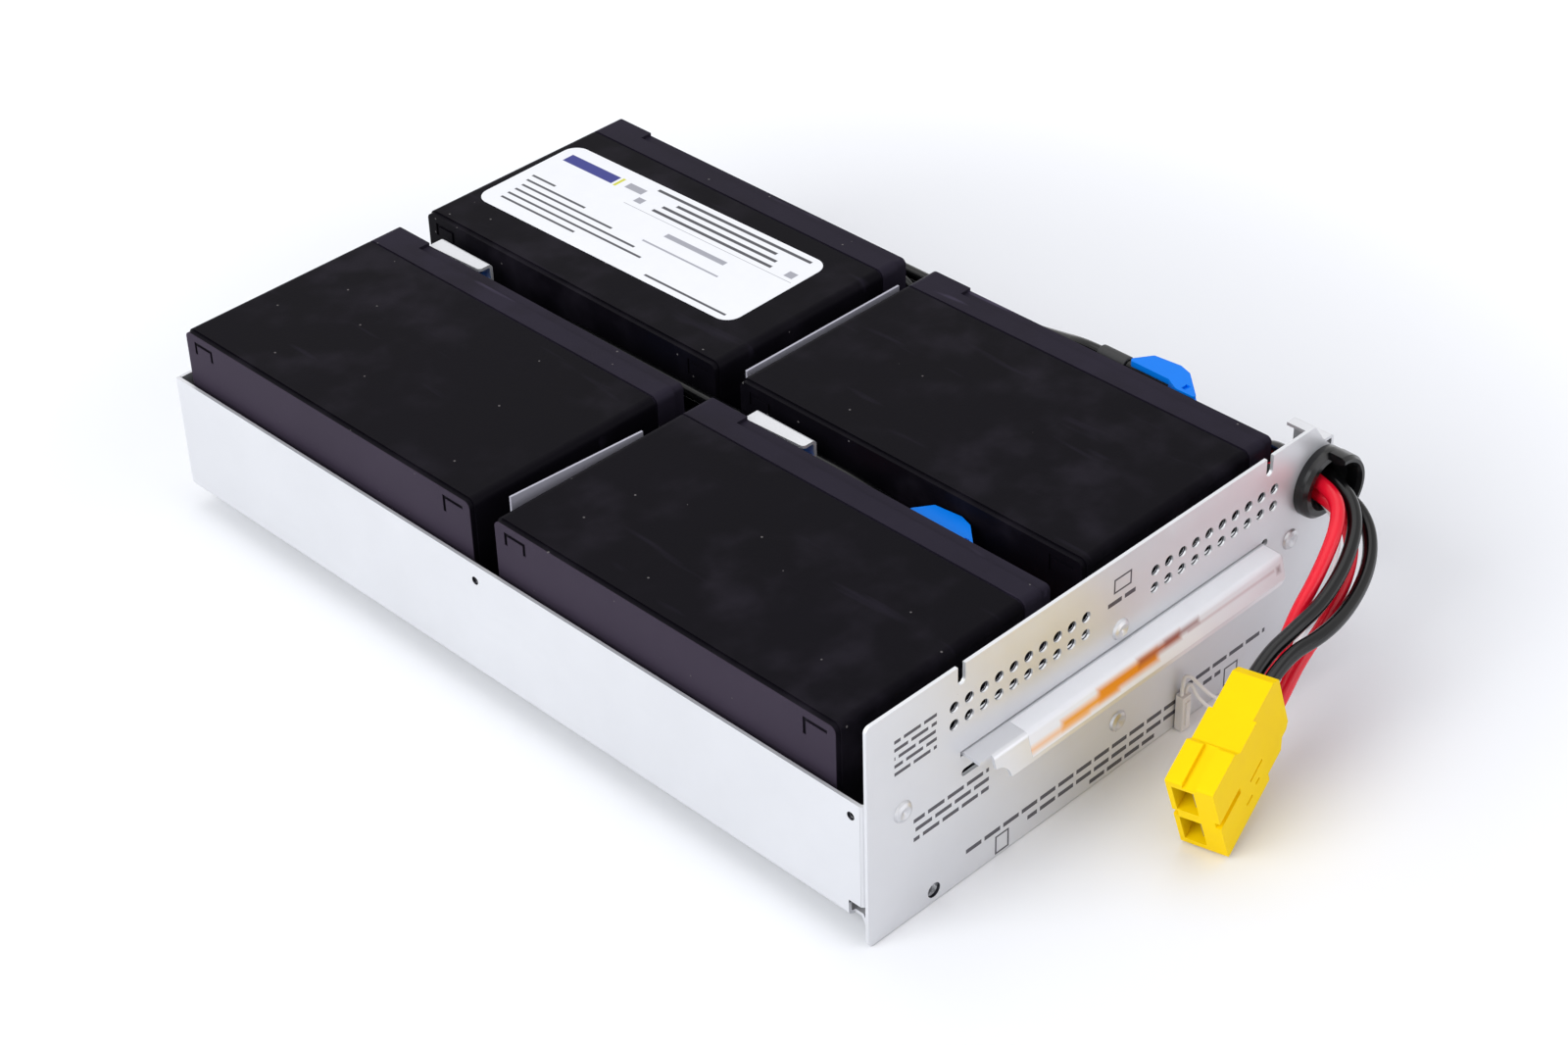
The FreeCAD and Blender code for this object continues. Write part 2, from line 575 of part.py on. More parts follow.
# --- labels ----------------------------------------------------------------------------------------
def battery_label():
    """Rounded label on top of the rear right battery, slightly askew."""
    z = FLOOR_TOP + BAT_W + 0.02
    label = box(19.5, 70.3, 193.0, 323.0, z, z + 0.12)
    label = fillet_along(label, (0, 0, 1), 6.0)
    label.rotate(vec(45, 258, 0), vec(0, 0, 1), 1.2)
    return label


def handle_label():
    """Folded label over the shelf and the lip of the handle, as a skin on their outer side."""
    middle = [(-0.9, 50.471), (-7.5, 50.2), (-9.55, 42.58)]
    thick = prism(ribbon(middle, SHEET + 0.28, 1.3), "yz", -51.0, 70.0)
    skins = thick.cut(prism(ribbon(middle, SHEET + 0.04, 1.3), "yz", -52.0, 71.0))
    return max(skins.Solids, key=lambda skin: skin.BoundBox.ZMax)


# --- wires -----------------------------------------------------------------------------------------
JOINT_Y = 3.0            # where the outer leads meet the inner ones inside the bushing
PAIR = 2.65              # half the spacing of the two wires in one pole of the connector


def outer_leads():
    """The four battery leads from the bushing to the connector, seen end to end."""
    end = 39.05
    return {
        "lead_red_a": [(95.25, JOINT_Y, 64.45), (94.1, -9.0, 64.4), (86.3, -18.0, 61.2),
                       (69.5, -23.5, 52.3), (53.0, -26.0, 43.0),
                       plug_point(57, 8, PAIR), plug_point(end, 8, PAIR)],
        "lead_black_a": [(100.15, JOINT_Y, 64.45), (99.3, -9.2, 63.7), (93.5, -19.6, 58.5),
                         (79.5, -26.8, 53.2), (61.5, -31.2, 48.6), (46.4, -32.0, 47.2),
                         plug_point(54.8, -8, PAIR), plug_point(end, -8, PAIR)],
        "lead_black_b": [(100.15, JOINT_Y, 59.55), (102.3, -8.6, 58.4), (101.0, -19.0, 52.5),
                         (91.5, -27.5, 47.2), (75.0, -34.2, 44.4), (55.0, -38.3, 44.2),
                         plug_point(57, -8, -PAIR), plug_point(end, -8, -PAIR)],
        "lead_red_b": [(95.25, JOINT_Y, 59.55), (96.0, -8.6, 58.3), (92.5, -19.0, 52.5),
                       (81.0, -26.5, 46.5), (64.0, -31.5, 40.5), (48.0, -33.2, 34.0),
                       plug_point(53.5, 8, -PAIR), plug_point(end, 8, -PAIR)],
    }


def sense_leads():
    """The two thin white wires from the bushing to the small plug."""
    low = SENSE_H - 2.45
    return {
        "sense_wire_a": [(96.9, JOINT_Y, 56.3), (96.6, -8.4, 55.3), (90.5, -13.5, 44.0),
                         (76.0, -14.5, 28.0), (60.0, -14.0, 13.4), (47.6, -12.0, 5.4),
                         (40.0, -7.6, 9.8), (35.4, -3.8, 17.4), (33.0, -2.6, 20.8),
                         (30.5, SENSE_Y, 20.8), (30.5, SENSE_Y, low)],
        "sense_wire_b": [(98.5, JOINT_Y, 56.3), (98.4, -8.4, 55.0), (92.4, -15.1, 42.6),
                         (78.0, -16.4, 26.0), (61.5, -15.8, 10.8), (47.6, -13.0, 2.2),
                         (38.8, -7.6, 6.0), (35.0, -4.3, 12.2), (34.6, -2.7, 16.4),
                         (32.5, SENSE_Y, 16.4), (32.5, SENSE_Y, low)],
    }


def inner_leads(ends):
    """Wires held inside the tray, from the terminals to the bushing or to each other."""
    return {
        "inner_red_a": [ends["front_left", "pos"], (-10.4, 108.0, 60.7), (-8.0, 90.0, 51.0),
                        (-8.0, 32.0, 49.0), (-8.0, 8.6, 50.0), (40.0, 8.6, 56.0),
                        (80.0, 12.3, 64.4), (95.25, 12.3, 64.45), (95.25, JOINT_Y + 0.3, 64.45)],
        "inner_red_b": [ends["front_right", "pos"], (98.7, 109.0, 60.7), (99.0, 90.0, 50.0),
                        (98.5, 46.0, 48.0), (97.2, 23.0, 57.5), (95.25, 11.5, 59.55),
                        (95.25, JOINT_Y + 0.3, 59.55)],
        "inner_black_b": [ends["rear_right", "neg"], (98.7, 184.0, 60.7), (100.2, 168.0, 46.0),
                          (105.0, 146.0, 38.0), (105.4, 46.0, 40.0), (104.6, 25.0, 60.5),
                          (100.15, 12.0, 64.45), (100.15, JOINT_Y + 0.3, 64.45)],
        "inner_black_a": [ends["rear_left", "neg"], (-10.4, 186.0, 60.7), (-8.6, 171.5, 32.0),
                          (40.0, 171.5, 30.0), (101.5, 171.5, 28.0), (105.0, 148.0, 26.0),
                          (105.4, 46.0, 26.0), (105.0, 27.0, 46.0), (100.15, 12.5, 59.55),
                          (100.15, JOINT_Y + 0.5, 59.55)],
        "jumper_left": [ends["front_left", "neg"], (-7.4, 88.0, 63.0), (-2.95, 108.0, 61.0),
                        (-2.95, 252.0, 60.0), (-10.4, 270.0, 60.7), ends["rear_left", "pos"]],
        "jumper_right": [ends["front_right", "neg"], (100.6, 101.0, 67.8), (103.8, 114.0, 63.2),
                         (106.4, 134.0, 58.0), (106.4, 248.0, 58.0), (98.7, 270.0, 60.7),
                         ends["rear_right", "pos"]],
    }


SENSOR = (101.0, 58.0)


def inner_sense():
    """The sense wires' held part, down to the bead on the tray floor."""
    out = {}
    for node, x, xe in (("inner_sense_a", 96.9, 100.0), ("inner_sense_b", 98.5, 101.8)):
        out[node] = [(x, JOINT_Y + 0.2, 56.3), (x, 10.0, 55.6), (xe - 1.0, 20.0, 42.0),
                     (xe, 34.0, 20.0), (xe, 46.0, 11.2), (xe, SENSOR[1] + 1.98, 11.2)]
    return out


def sensor_bead():
    """Small moulded bead with the temperature sensor, lying on the floor of the terminal channel."""
    x, y = SENSOR
    bead = fillet_along(box(x - 4, x + 4, y, y + 12, FLOOR_TOP + 0.02, FLOOR_TOP + 4.4),
                        (0, 1, 0), 1.0, lambda c: c.z > FLOOR_TOP + 1)
    for xe in (100.0, 101.8):
        bead = bead.cut(rod(xe, y - 1, 11.2, SENSE_D / 2 + 0.01, 3.0))
    return one_solid(bead)


def wire_sleeve(a, b, start, length):
    """Sleeve slid over the straight first run of a jumper, behind its boot."""
    d = (vec(*b) - vec(*a)).normalize()
    base = vec(*a) + d * start
    outer = Part.makeCylinder(3.3, length, base, d)
    outer = outer.makeFillet(0.5, [e for e in outer.Edges if e.Curve.TypeId == "Part::GeomCircle"])
    return outer.cut(Part.makeCylinder(WIRE_D / 2 + 0.02, length + 2, base - d, d))


# --- build -----------------------------------------------------------------------------------------
def build():
    os.makedirs("parts", exist_ok=True)
    save(chassis_tray(), "chassis_tray")
    save(pull_handle(), "pull_handle")
    save(panel_angle(), "panel_angle")
    for node, (x, z, depth) in RIVETS.items():
        save(blind_rivet(x, z, depth), node)
    save(terminal_guard(124.0, 150.0, 1.6), "guard_front")
    save(terminal_guard(285.0, 311.0, 1.6), "guard_rear")

    ends = {}
    for name, (x0, y0) in BATTERIES.items():
        save(battery_case(x0, y0), "case_" + name)
        save(battery_lid(x0, y0), "lid_" + name)
        neg, pos = blade_pair(x0, y0)
        save(neg, "blade_neg_" + name)
        save(pos, "blade_pos_" + name)
        xb = x0 + BAT_H
        right = name.endswith("right")
        for pole, along in (("neg", TERM_NEG), ("pos", TERM_POS)):
            if (pole, name) in HOODED:
                boot, end = hooded_boot(xb, y0 + along, HOODED[pole, name])
            else:
                boot, end = low_boot(xb, y0 + along, 7.8 if right else 6.7, -1)
            save(boot, "boot_%s_%s" % (pole, name))
            ends[name, pole] = end
    save(insulating_strip(-98.0, -42.0, 75.2, 72.8, -1.0), "gap_strip_left")
    save(insulating_strip(6.0, 80.0, 72.8, 72.6, 0.0), "gap_strip_right")
    save(battery_label(), "battery_label")
    save(handle_label(), "handle_label")

    save(cable_bushing(), "cable_bushing")
    save(connector_housing(), "connector_housing")
    save(connector_contact(-8.6), "connector_contact_1")
    save(connector_contact(8.6), "connector_contact_2")
    save(sense_plug(), "sense_plug")
    for node, points in outer_leads().items():
        save(wire_tube(points, WIRE_D, node), node)
    for node, points in sense_leads().items():
        save(wire_tube(points, SENSE_D, node), node)
    inner = inner_leads(ends)
    for node, points in inner.items():
        save(wire_tube(points, WIRE_D, node, 0.9 if node == "inner_red_a" else 0.6), node)
    for node, points in inner_sense().items():
        save(wire_tube(points, SENSE_D, node), node)
    save(wire_sleeve(inner["jumper_right"][0], inner["jumper_right"][1], 23.6, 12.0), "jumper_sleeve")
    save(sensor_bead(), "sensor_bead")


build()
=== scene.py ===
import math

import bmesh
import bpy
from mathutils import Matrix, Vector


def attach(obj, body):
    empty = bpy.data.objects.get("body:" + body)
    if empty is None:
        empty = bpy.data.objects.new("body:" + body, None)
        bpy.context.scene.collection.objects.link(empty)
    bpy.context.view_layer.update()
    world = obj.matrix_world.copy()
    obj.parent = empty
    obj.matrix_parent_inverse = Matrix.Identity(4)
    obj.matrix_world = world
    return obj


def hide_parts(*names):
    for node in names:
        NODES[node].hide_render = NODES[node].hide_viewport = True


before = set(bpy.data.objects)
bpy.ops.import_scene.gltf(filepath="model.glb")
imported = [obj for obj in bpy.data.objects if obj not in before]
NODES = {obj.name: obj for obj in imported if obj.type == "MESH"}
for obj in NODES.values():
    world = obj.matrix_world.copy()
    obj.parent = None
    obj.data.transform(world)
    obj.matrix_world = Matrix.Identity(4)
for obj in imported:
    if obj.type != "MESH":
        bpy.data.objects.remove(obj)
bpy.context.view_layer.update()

bl_info = {
    "name": "Battery cartridge dresser",
    "version": (1, 0, 0),
    "blender": (4, 5, 0),
    "location": "3D View > Sidebar > Cartridge",
    "description": "Gives a rack battery cartridge its finishes, leads, labels and studio",
    "category": "Object",
}

MM = 1000.0                          # millimetres in a metre
FACE_Y = -0.161                      # front face of the panel


def at(x, y, z):
    """A point given in millimetres from the panel's front face, in metres of the frame."""
    return (x / MM, y / MM + FACE_Y, z / MM)


# --- settings ------------------------------------------------------------------------------------
class FinishSettings(bpy.types.PropertyGroup):
    """Colours and surface values of the cartridge."""

    steel: bpy.props.FloatVectorProperty(
        name="Sheet steel", description="Colour of the plated tray and panel",
        default=(0.710, 0.714, 0.735), subtype="COLOR", min=0.0, max=1.0)
    battery: bpy.props.FloatVectorProperty(
        name="Battery plastic", description="Colour of the containers and lids",
        default=(0.0036, 0.0030, 0.0048), subtype="COLOR", min=0.0, max=1.0)
    insulator: bpy.props.FloatVectorProperty(
        name="Insulator", description="Colour of the terminal insulators",
        default=(0.0, 0.195, 0.80), subtype="COLOR", min=0.0, max=1.0)
    connector: bpy.props.FloatVectorProperty(
        name="Connector", description="Colour of the two-pole connector",
        default=(1.0, 0.66, 0.0), subtype="COLOR", min=0.0, max=1.0)
    red_lead: bpy.props.FloatVectorProperty(
        name="Red lead", description="Colour of the positive leads",
        default=(0.80, 0.006, 0.025), subtype="COLOR", min=0.0, max=1.0)
    black_lead: bpy.props.FloatVectorProperty(
        name="Black lead", description="Colour of the negative leads",
        default=(0.003, 0.003, 0.0035), subtype="COLOR", min=0.0, max=1.0)
    label: bpy.props.FloatVectorProperty(
        name="Label stock", description="Colour of the unprinted labels",
        default=(0.86, 0.86, 0.88), subtype="COLOR", min=0.0, max=1.0)


class LeadSettings(bpy.types.PropertyGroup):
    """Thicknesses of the wires."""

    lead_diameter: bpy.props.FloatProperty(
        name="Lead diameter", description="Outside diameter of a battery lead",
        default=0.0048, unit="LENGTH", min=0.001, max=0.02)
    sense_diameter: bpy.props.FloatProperty(
        name="Sense wire diameter", description="Outside diameter of a sense wire",
        default=0.0013, unit="LENGTH", min=0.0005, max=0.01)


class StudioSettings(bpy.types.PropertyGroup):
    """Camera and lamps."""

    lens: bpy.props.FloatProperty(
        name="Lens", description="Focal length of the camera on a 36 mm wide sensor",
        default=73.8, unit="CAMERA", min=10.0, max=300.0)
    turn: bpy.props.FloatProperty(
        name="Turn", description="Azimuth of the camera round the cartridge",
        default=math.radians(-43.87), subtype="ANGLE", unit="ROTATION")
    height: bpy.props.FloatProperty(
        name="Height", description="Elevation of the camera above the table",
        default=math.radians(35.99), subtype="ANGLE", unit="ROTATION")
    roll: bpy.props.FloatProperty(
        name="Roll", description="Roll of the camera about its own line of sight",
        default=math.radians(-1.83), subtype="ANGLE", unit="ROTATION")


# --- shader node groups --------------------------------------------------------------------------
COLOUR_A, COLOUR_B, COLOUR_OUT = 6, 7, 2     # the colour sockets of a Mix node


def new_group(name, inputs, outputs):
    """An empty shader node group with named sockets; returns the group, its input and output."""
    group = bpy.data.node_groups.new(name, "ShaderNodeTree")
    for kind, label, default in inputs:
        socket = group.interface.new_socket(name=label, in_out="INPUT", socket_type=kind)
        if default is not None:
            socket.default_value = default
    for kind, label in outputs:
        group.interface.new_socket(name=label, in_out="OUTPUT", socket_type=kind)
    return group, group.nodes.new("NodeGroupInput"), group.nodes.new("NodeGroupOutput")


def math_node(tree, operation, a, b=None, c=None, clamp=False):
    """A Math node whose inputs are numbers or sockets; returns its output socket."""
    node = tree.nodes.new("ShaderNodeMath")
    node.operation = operation
    node.use_clamp = clamp
    for i, value in enumerate((a, b, c)):
        if value is None:
            continue
        if isinstance(value, (int, float)):
            node.inputs[i].default_value = value
        else:
            tree.links.new(value, node.inputs[i])
    return node.outputs[0]


def vector_node(tree, operation, a, b=None):
    """A Vector Math node; returns its vector socket, or its number socket for a length."""
    node = tree.nodes.new("ShaderNodeVectorMath")
    node.operation = operation
    tree.links.new(a, node.inputs[0])
    if b is not None:
        tree.links.new(b, node.inputs[1])
    return node.outputs["Value" if operation == "LENGTH" else "Vector"]


def split_node(tree, vector):
    """The x, y and z of a vector socket."""
    node = tree.nodes.new("ShaderNodeSeparateXYZ")
    tree.links.new(vector, node.inputs[0])
    return node.outputs[0], node.outputs[1], node.outputs[2]


def colour_mix(tree, factor, a, b):
    """Colour a where the factor is 0 and colour b where it is 1; each a colour or a socket."""
    node = tree.nodes.new("ShaderNodeMix")
    node.data_type = "RGBA"
    tree.links.new(factor, node.inputs["Factor"])
    for socket, value in ((node.inputs[COLOUR_A], a), (node.inputs[COLOUR_B], b)):
        if isinstance(value, (tuple, list)):
            socket.default_value = (*value[:3], 1.0)
        else:
            tree.links.new(value, socket)
    return node.outputs[COLOUR_OUT]


def build_grain_group():
    """Fine moulded grain with a slow cloud over it."""
    group, gin, gout = new_group(
        "Moulded grain",
        [("NodeSocketVector", "Place", None), ("NodeSocketFloat", "Grain size", 900.0),
         ("NodeSocketFloat", "Cloud size", 14.0)],
        [("NodeSocketFloat", "Grain"), ("NodeSocketFloat", "Cloud")])
    fine = group.nodes.new("ShaderNodeTexNoise")
    fine.inputs["Detail"].default_value = 3.0
    group.links.new(gin.outputs["Place"], fine.inputs["Vector"])
    group.links.new(gin.outputs["Grain size"], fine.inputs["Scale"])
    slow = group.nodes.new("ShaderNodeTexNoise")
    slow.inputs["Detail"].default_value = 4.0
    slow.inputs["Roughness"].default_value = 0.62
    group.links.new(gin.outputs["Place"], slow.inputs["Vector"])
    group.links.new(gin.outputs["Cloud size"], slow.inputs["Scale"])
    group.links.new(fine.outputs["Fac"], gout.inputs["Grain"])
    group.links.new(slow.outputs["Fac"], gout.inputs["Cloud"])
    return group


def build_dust_group():
    """Scattered specks of dust and a few short scuffs."""
    group, gin, gout = new_group(
        "Dust and scuffs",
        [("NodeSocketVector", "Place", None), ("NodeSocketFloat", "Spacing", 230.0),
         ("NodeSocketFloat", "Speck size", 0.09), ("NodeSocketFloat", "Share", 0.12)],
        [("NodeSocketFloat", "Specks"), ("NodeSocketFloat", "Scuffs")])
    cells = group.nodes.new("ShaderNodeTexVoronoi")
    group.links.new(gin.outputs["Place"], cells.inputs["Vector"])
    group.links.new(gin.outputs["Spacing"], cells.inputs["Scale"])
    near = math_node(group, "LESS_THAN", cells.outputs["Distance"], gin.outputs["Speck size"])
    pick = group.nodes.new("ShaderNodeSeparateColor")
    group.links.new(cells.outputs["Color"], pick.inputs["Color"])
    chosen = math_node(group, "LESS_THAN", pick.outputs[0], gin.outputs["Share"])
    specks = math_node(group, "MULTIPLY", near, chosen)
    group.links.new(specks, gout.inputs["Specks"])
    stretch = group.nodes.new("ShaderNodeMapping")
    stretch.inputs["Scale"].default_value = (160.0, 22.0, 90.0)
    stretch.inputs["Rotation"].default_value = (0.0, 0.0, 0.5)
    group.links.new(gin.outputs["Place"], stretch.inputs["Vector"])
    streak = group.nodes.new("ShaderNodeTexNoise")
    streak.inputs["Scale"].default_value = 1.0
    streak.inputs["Detail"].default_value = 2.0
    group.links.new(stretch.outputs["Vector"], streak.inputs["Vector"])
    rare, contrast = 0.66, 6.0           # only the peaks of the streaks show
    peaks = math_node(group, "SUBTRACT", streak.outputs["Fac"], rare, clamp=True)
    scuffs = math_node(group, "MULTIPLY", peaks, contrast, clamp=True)
    group.links.new(scuffs, gout.inputs["Scuffs"])
    return group


def build_field_group():
    """A soft-edged box in space, as a mask."""
    group, gin, gout = new_group(
        "Print field",
        [("NodeSocketVector", "Place", None), ("NodeSocketVector", "Centre", (0.0, 0.0, 0.0)),
         ("NodeSocketVector", "Half size", (1.0, 1.0, 1.0)), ("NodeSocketFloat", "Edge", 0.0004)],
        [("NodeSocketFloat", "Mask")])
    offset = vector_node(group, "SUBTRACT", gin.outputs["Place"], gin.outputs["Centre"])
    away = vector_node(group, "ABSOLUTE", offset)
    inside = vector_node(group, "SUBTRACT", gin.outputs["Half size"], away)
    x, y, z = split_node(group, inside)
    least = math_node(group, "MINIMUM", math_node(group, "MINIMUM", x, y), z)
    mask = math_node(group, "DIVIDE", least, gin.outputs["Edge"], clamp=True)
    group.links.new(mask, gout.inputs["Mask"])
    return group


def build_rows_group():
    """Even rules across a field, broken by short gaps: plain bars where a maker prints text."""
    group, gin, gout = new_group(
        "Print rows",
        [("NodeSocketVector", "Place", None), ("NodeSocketVector", "Centre", (0.0, 0.0, 0.0)),
         ("NodeSocketFloat", "Pitch", 0.004), ("NodeSocketFloat", "Share", 0.42),
         ("NodeSocketFloat", "Word", 0.0085), ("NodeSocketFloat", "Area", 1.0)],
        [("NodeSocketFloat", "Mask")])
    row_shift, gap = 0.37, 0.16          # both as shares of a bar's length
    offset = vector_node(group, "SUBTRACT", gin.outputs["Place"], gin.outputs["Centre"])
    x, _, z = split_node(group, offset)
    turns = math_node(group, "DIVIDE", z, gin.outputs["Pitch"])
    row = math_node(group, "ROUND", turns)
    away = math_node(group, "ABSOLUTE", math_node(group, "SUBTRACT", turns, row))
    half_rule = math_node(group, "MULTIPLY", gin.outputs["Share"], 0.5)
    rule = math_node(group, "LESS_THAN", away, half_rule)
    along = math_node(group, "ADD", math_node(group, "DIVIDE", x, gin.outputs["Word"]),
                      math_node(group, "MULTIPLY", row, row_shift))
    word = math_node(group, "GREATER_THAN", math_node(group, "FRACT", along), gap)
    bars = math_node(group, "MULTIPLY", rule, word)
    mask = math_node(group, "MULTIPLY", bars, gin.outputs["Area"])
    group.links.new(mask, gout.inputs["Mask"])
    return group


GROUPS = {}


def groups():
    """The shared node groups, built once."""
    if not GROUPS:
        GROUPS["grain"] = build_grain_group()
        GROUPS["dust"] = build_dust_group()
        GROUPS["field"] = build_field_group()
        GROUPS["rows"] = build_rows_group()
    return GROUPS


# --- materials -----------------------------------------------------------------------------------
class Paint:
    """A material under construction: its tree, its principled shader and a few short calls."""

    def __init__(self, name):
        self.material = bpy.data.materials.new(name)
        self.material.use_nodes = True
        self.tree = self.material.node_tree
        self.shader = self.tree.nodes["Principled BSDF"]
        coordinates = self.tree.nodes.new("ShaderNodeTexCoord")
        self.place = coordinates.outputs["Object"]

    def set(self, **values):
        """Set the shader's own sockets; an underscore stands for a space in a socket's name."""
        for label, value in values.items():
            self.shader.inputs[label.replace("_", " ")].default_value = value

    def use(self, key, **values):
        """Place a shared node group with its own values; returns the node."""
        node = self.tree.nodes.new("ShaderNodeGroup")
        node.node_tree = groups()[key]
        self.tree.links.new(self.place, node.inputs["Place"])
        for label, value in values.items():
            node.inputs[label.replace("_", " ")].default_value = value
        return node

    def area(self, centre, half_size, edge):
        """The mask of a box, from its centre in metres and its half size in millimetres."""
        field = self.use("field", Edge=edge, Centre=centre,
                         Half_size=tuple(v / MM for v in half_size))
        return field.outputs["Mask"]

    def math(self, operation, a, b=None, clamp=False):
        """A Math node in this material."""
        return math_node(self.tree, operation, a, b, clamp=clamp)

    def mix(self, factor, a, b):
        """Colour a where the factor is 0 and colour b where it is 1."""
        return colour_mix(self.tree, factor, a, b)

    def spread(self, value, low, high):
        """A 0 to 1 value spread over low to high."""
        node = self.tree.nodes.new("ShaderNodeMapRange")
        node.inputs["To Min"].default_value = low
        node.inputs["To Max"].default_value = high
        self.tree.links.new(value, node.inputs["Value"])
        return node.outputs[0]

    def limit(self, value, low, high):
        """A value from low to high spread over 0 to 1, and held there outside."""
        node = self.tree.nodes.new("ShaderNodeMapRange")
        node.interpolation_type = "SMOOTHSTEP"
        node.inputs["From Min"].default_value = low
        node.inputs["From Max"].default_value = high
        self.tree.links.new(value, node.inputs["Value"])
        return node.outputs[0]

    def colour(self, socket):
        """Feed the shader's base colour."""
        self.tree.links.new(socket, self.shader.inputs["Base Color"])

    def rough(self, socket):
        """Feed the shader's roughness."""
        self.tree.links.new(socket, self.shader.inputs["Roughness"])

    def bump(self, height, distance, strength):
        """Raise the surface finely by a 0 to 1 height over a distance in metres."""
        node = self.tree.nodes.new("ShaderNodeBump")
        node.inputs["Strength"].default_value = strength
        node.inputs["Distance"].default_value = distance
        self.tree.links.new(height, node.inputs["Height"])
        self.tree.links.new(node.outputs["Normal"], self.shader.inputs["Normal"])


def shade(colour, factor):
    """A colour made darker or lighter by a factor."""
    return tuple(min(1.0, c * factor) for c in colour)


# places and sizes of print are in millimetres from the panel's front face, edge widths in metres
# rows of bars printed on the panel: middle x, middle height, half width, half height, row pitch
PANEL_ROWS = (
    (-91.0, 66.1, 9.0, 8.2, 3.0),
    (-75.5, 33.6, 16.5, 4.7, 3.6),
    (-19.5, 10.4, 49.5, 1.6, 4.0),
    (-2.5, 6.3, 38.5, 1.6, 4.0),
    (4.0, 2.4, 16.0, 1.4, 4.0),
    (55.7, 13.8, 19.7, 1.6, 4.0),
    (48.5, 9.3, 4.5, 1.6, 4.0),
    (0.5, 68.3, 6.5, 1.3, 4.0),
)
# open squares printed on the panel: middle x, middle height, half width and half height
PANEL_SIGNS = ((0.7, 74.4, 4.2, 2.8), (-52.6, 4.3, 3.2, 3.7), (58.3, 5.4, 3.6, 3.9))
SIGN_LINE = 0.7                      # width of a square's line
PRINT_DEPTH = 0.1                    # how far print reaches each side of the panel's face
# cut edges in the panel's holes, painted near black as steel cut edges with painted shade inside
# the holes: middle x, height, half width, half height, first and last depth
PANEL_CUT_SHADE = (
    (-45.3, 66.9, 31.0, 6.0, 0.62, 1.16),        # left vents
    (45.5, 66.9, 31.0, 6.0, 0.62, 1.16),         # right vents
    (-83.1, 4.4, 3.3, 3.3, 0.1, 1.16),           # left fixing hole
    (83.1, 4.4, 3.3, 3.3, 0.1, 1.16),            # right fixing hole
)
# cut edges inside each side wall, painted near black as steel cut edges with painted shade: the
# middle of their region and its half size
WALL_CUT_SHADE = ((110.9, 166.0, 32.0), (0.52, 160.0, 19.0))
SHARP, CUT_SHARP = 0.0001, 0.00003   # edge widths of print and of the cut edges' shade
# the cut edges' colour is near black: dark steel edges and painted shade inside the holes
PRINT_INK, CUT_EDGE_SHADE = (0.085, 0.080, 0.095), (0.035, 0.035, 0.045)


def steel_paint(colour):
    """Plated sheet steel: clouds, rolling grain, scuffed marks, print, and cut edges painted near
    black with painted shade inside the holes.
    """
    paint = Paint("plated_steel")
    grain = paint.use("grain", Grain_size=1500.0, Cloud_size=22.0)
    dust = paint.use("dust", Spacing=150.0, Speck_size=0.05, Share=0.10)
    tone = paint.mix(grain.outputs["Cloud"], shade(colour, 0.93), shade(colour, 1.05))
    tone = paint.mix(dust.outputs["Specks"], tone, shade(colour, 0.45))
    for middle, height, half, rise, pitch in PANEL_ROWS:
        centre = at(middle, 0.0, height)
        rows = paint.use("rows", Pitch=pitch / MM, Centre=centre)
        area = paint.area(centre, (half, PRINT_DEPTH, rise), SHARP)
        paint.tree.links.new(area, rows.inputs["Area"])
        tone = paint.mix(rows.outputs["Mask"], tone, PRINT_INK)
    for middle, height, half, rise in PANEL_SIGNS:
        centre = at(middle, 0.0, height)
        outer = paint.area(centre, (half, PRINT_DEPTH, rise), SHARP)
        inner = paint.area(centre, (half - SIGN_LINE, 2 * PRINT_DEPTH, rise - SIGN_LINE), SHARP)
        tone = paint.mix(paint.math("SUBTRACT", outer, inner, clamp=True), tone, PRINT_INK)
    # the walls of the panel's holes are painted near black: cut edges and painted shade inside the
    # holes
    for middle, height, half, rise, first, last in PANEL_CUT_SHADE:
        depth = paint.area(at(middle, (first + last) / 2, height),
                           (half, (last - first) / 2, rise), CUT_SHARP)
        tone = paint.mix(depth, tone, CUT_EDGE_SHADE)
    # inside each side wall the cut edges are painted near black as well: cut edges and painted
    # shade
    (x, y, z), half_size = WALL_CUT_SHADE
    for side in (-1, 1):
        depth = paint.area(at(side * x, y, z), half_size, CUT_SHARP)
        tone = paint.mix(depth, tone, CUT_EDGE_SHADE)
    paint.colour(tone)
    paint.rough(paint.math("ADD", paint.spread(grain.outputs["Cloud"], 0.30, 0.46),
                           paint.spread(dust.outputs["Scuffs"], 0.0, 0.16)))
    paint.set(Metallic=0.55)
    paint.bump(grain.outputs["Grain"], distance=0.00003, strength=0.25)
    return paint.material


SMUDGE_SHEEN_COLOUR = (0.0125, 0.0105, 0.0155)   # smudges left by hands, lighter in patches as a painted sheen
SMUDGE_SHEEN_FROM, SMUDGE_SHEEN_TO = 0.22, 0.46  # the clouds of smudges and sheen that show, from none to full
SIDE_SHEEN = ((0.030, 0.023, 0.036), (0.050, 0.039, 0.058))      # painted sheen on the base faces, lilac grey, dark and pale
SIDE_SHEEN_FACES = (at(-108.0, 171.0, 41.0), (0.3, 170.0, 40.0))     # the left row's faces beside the wall, where the painted sheen goes
DUST = (0.13, 0.12, 0.12)


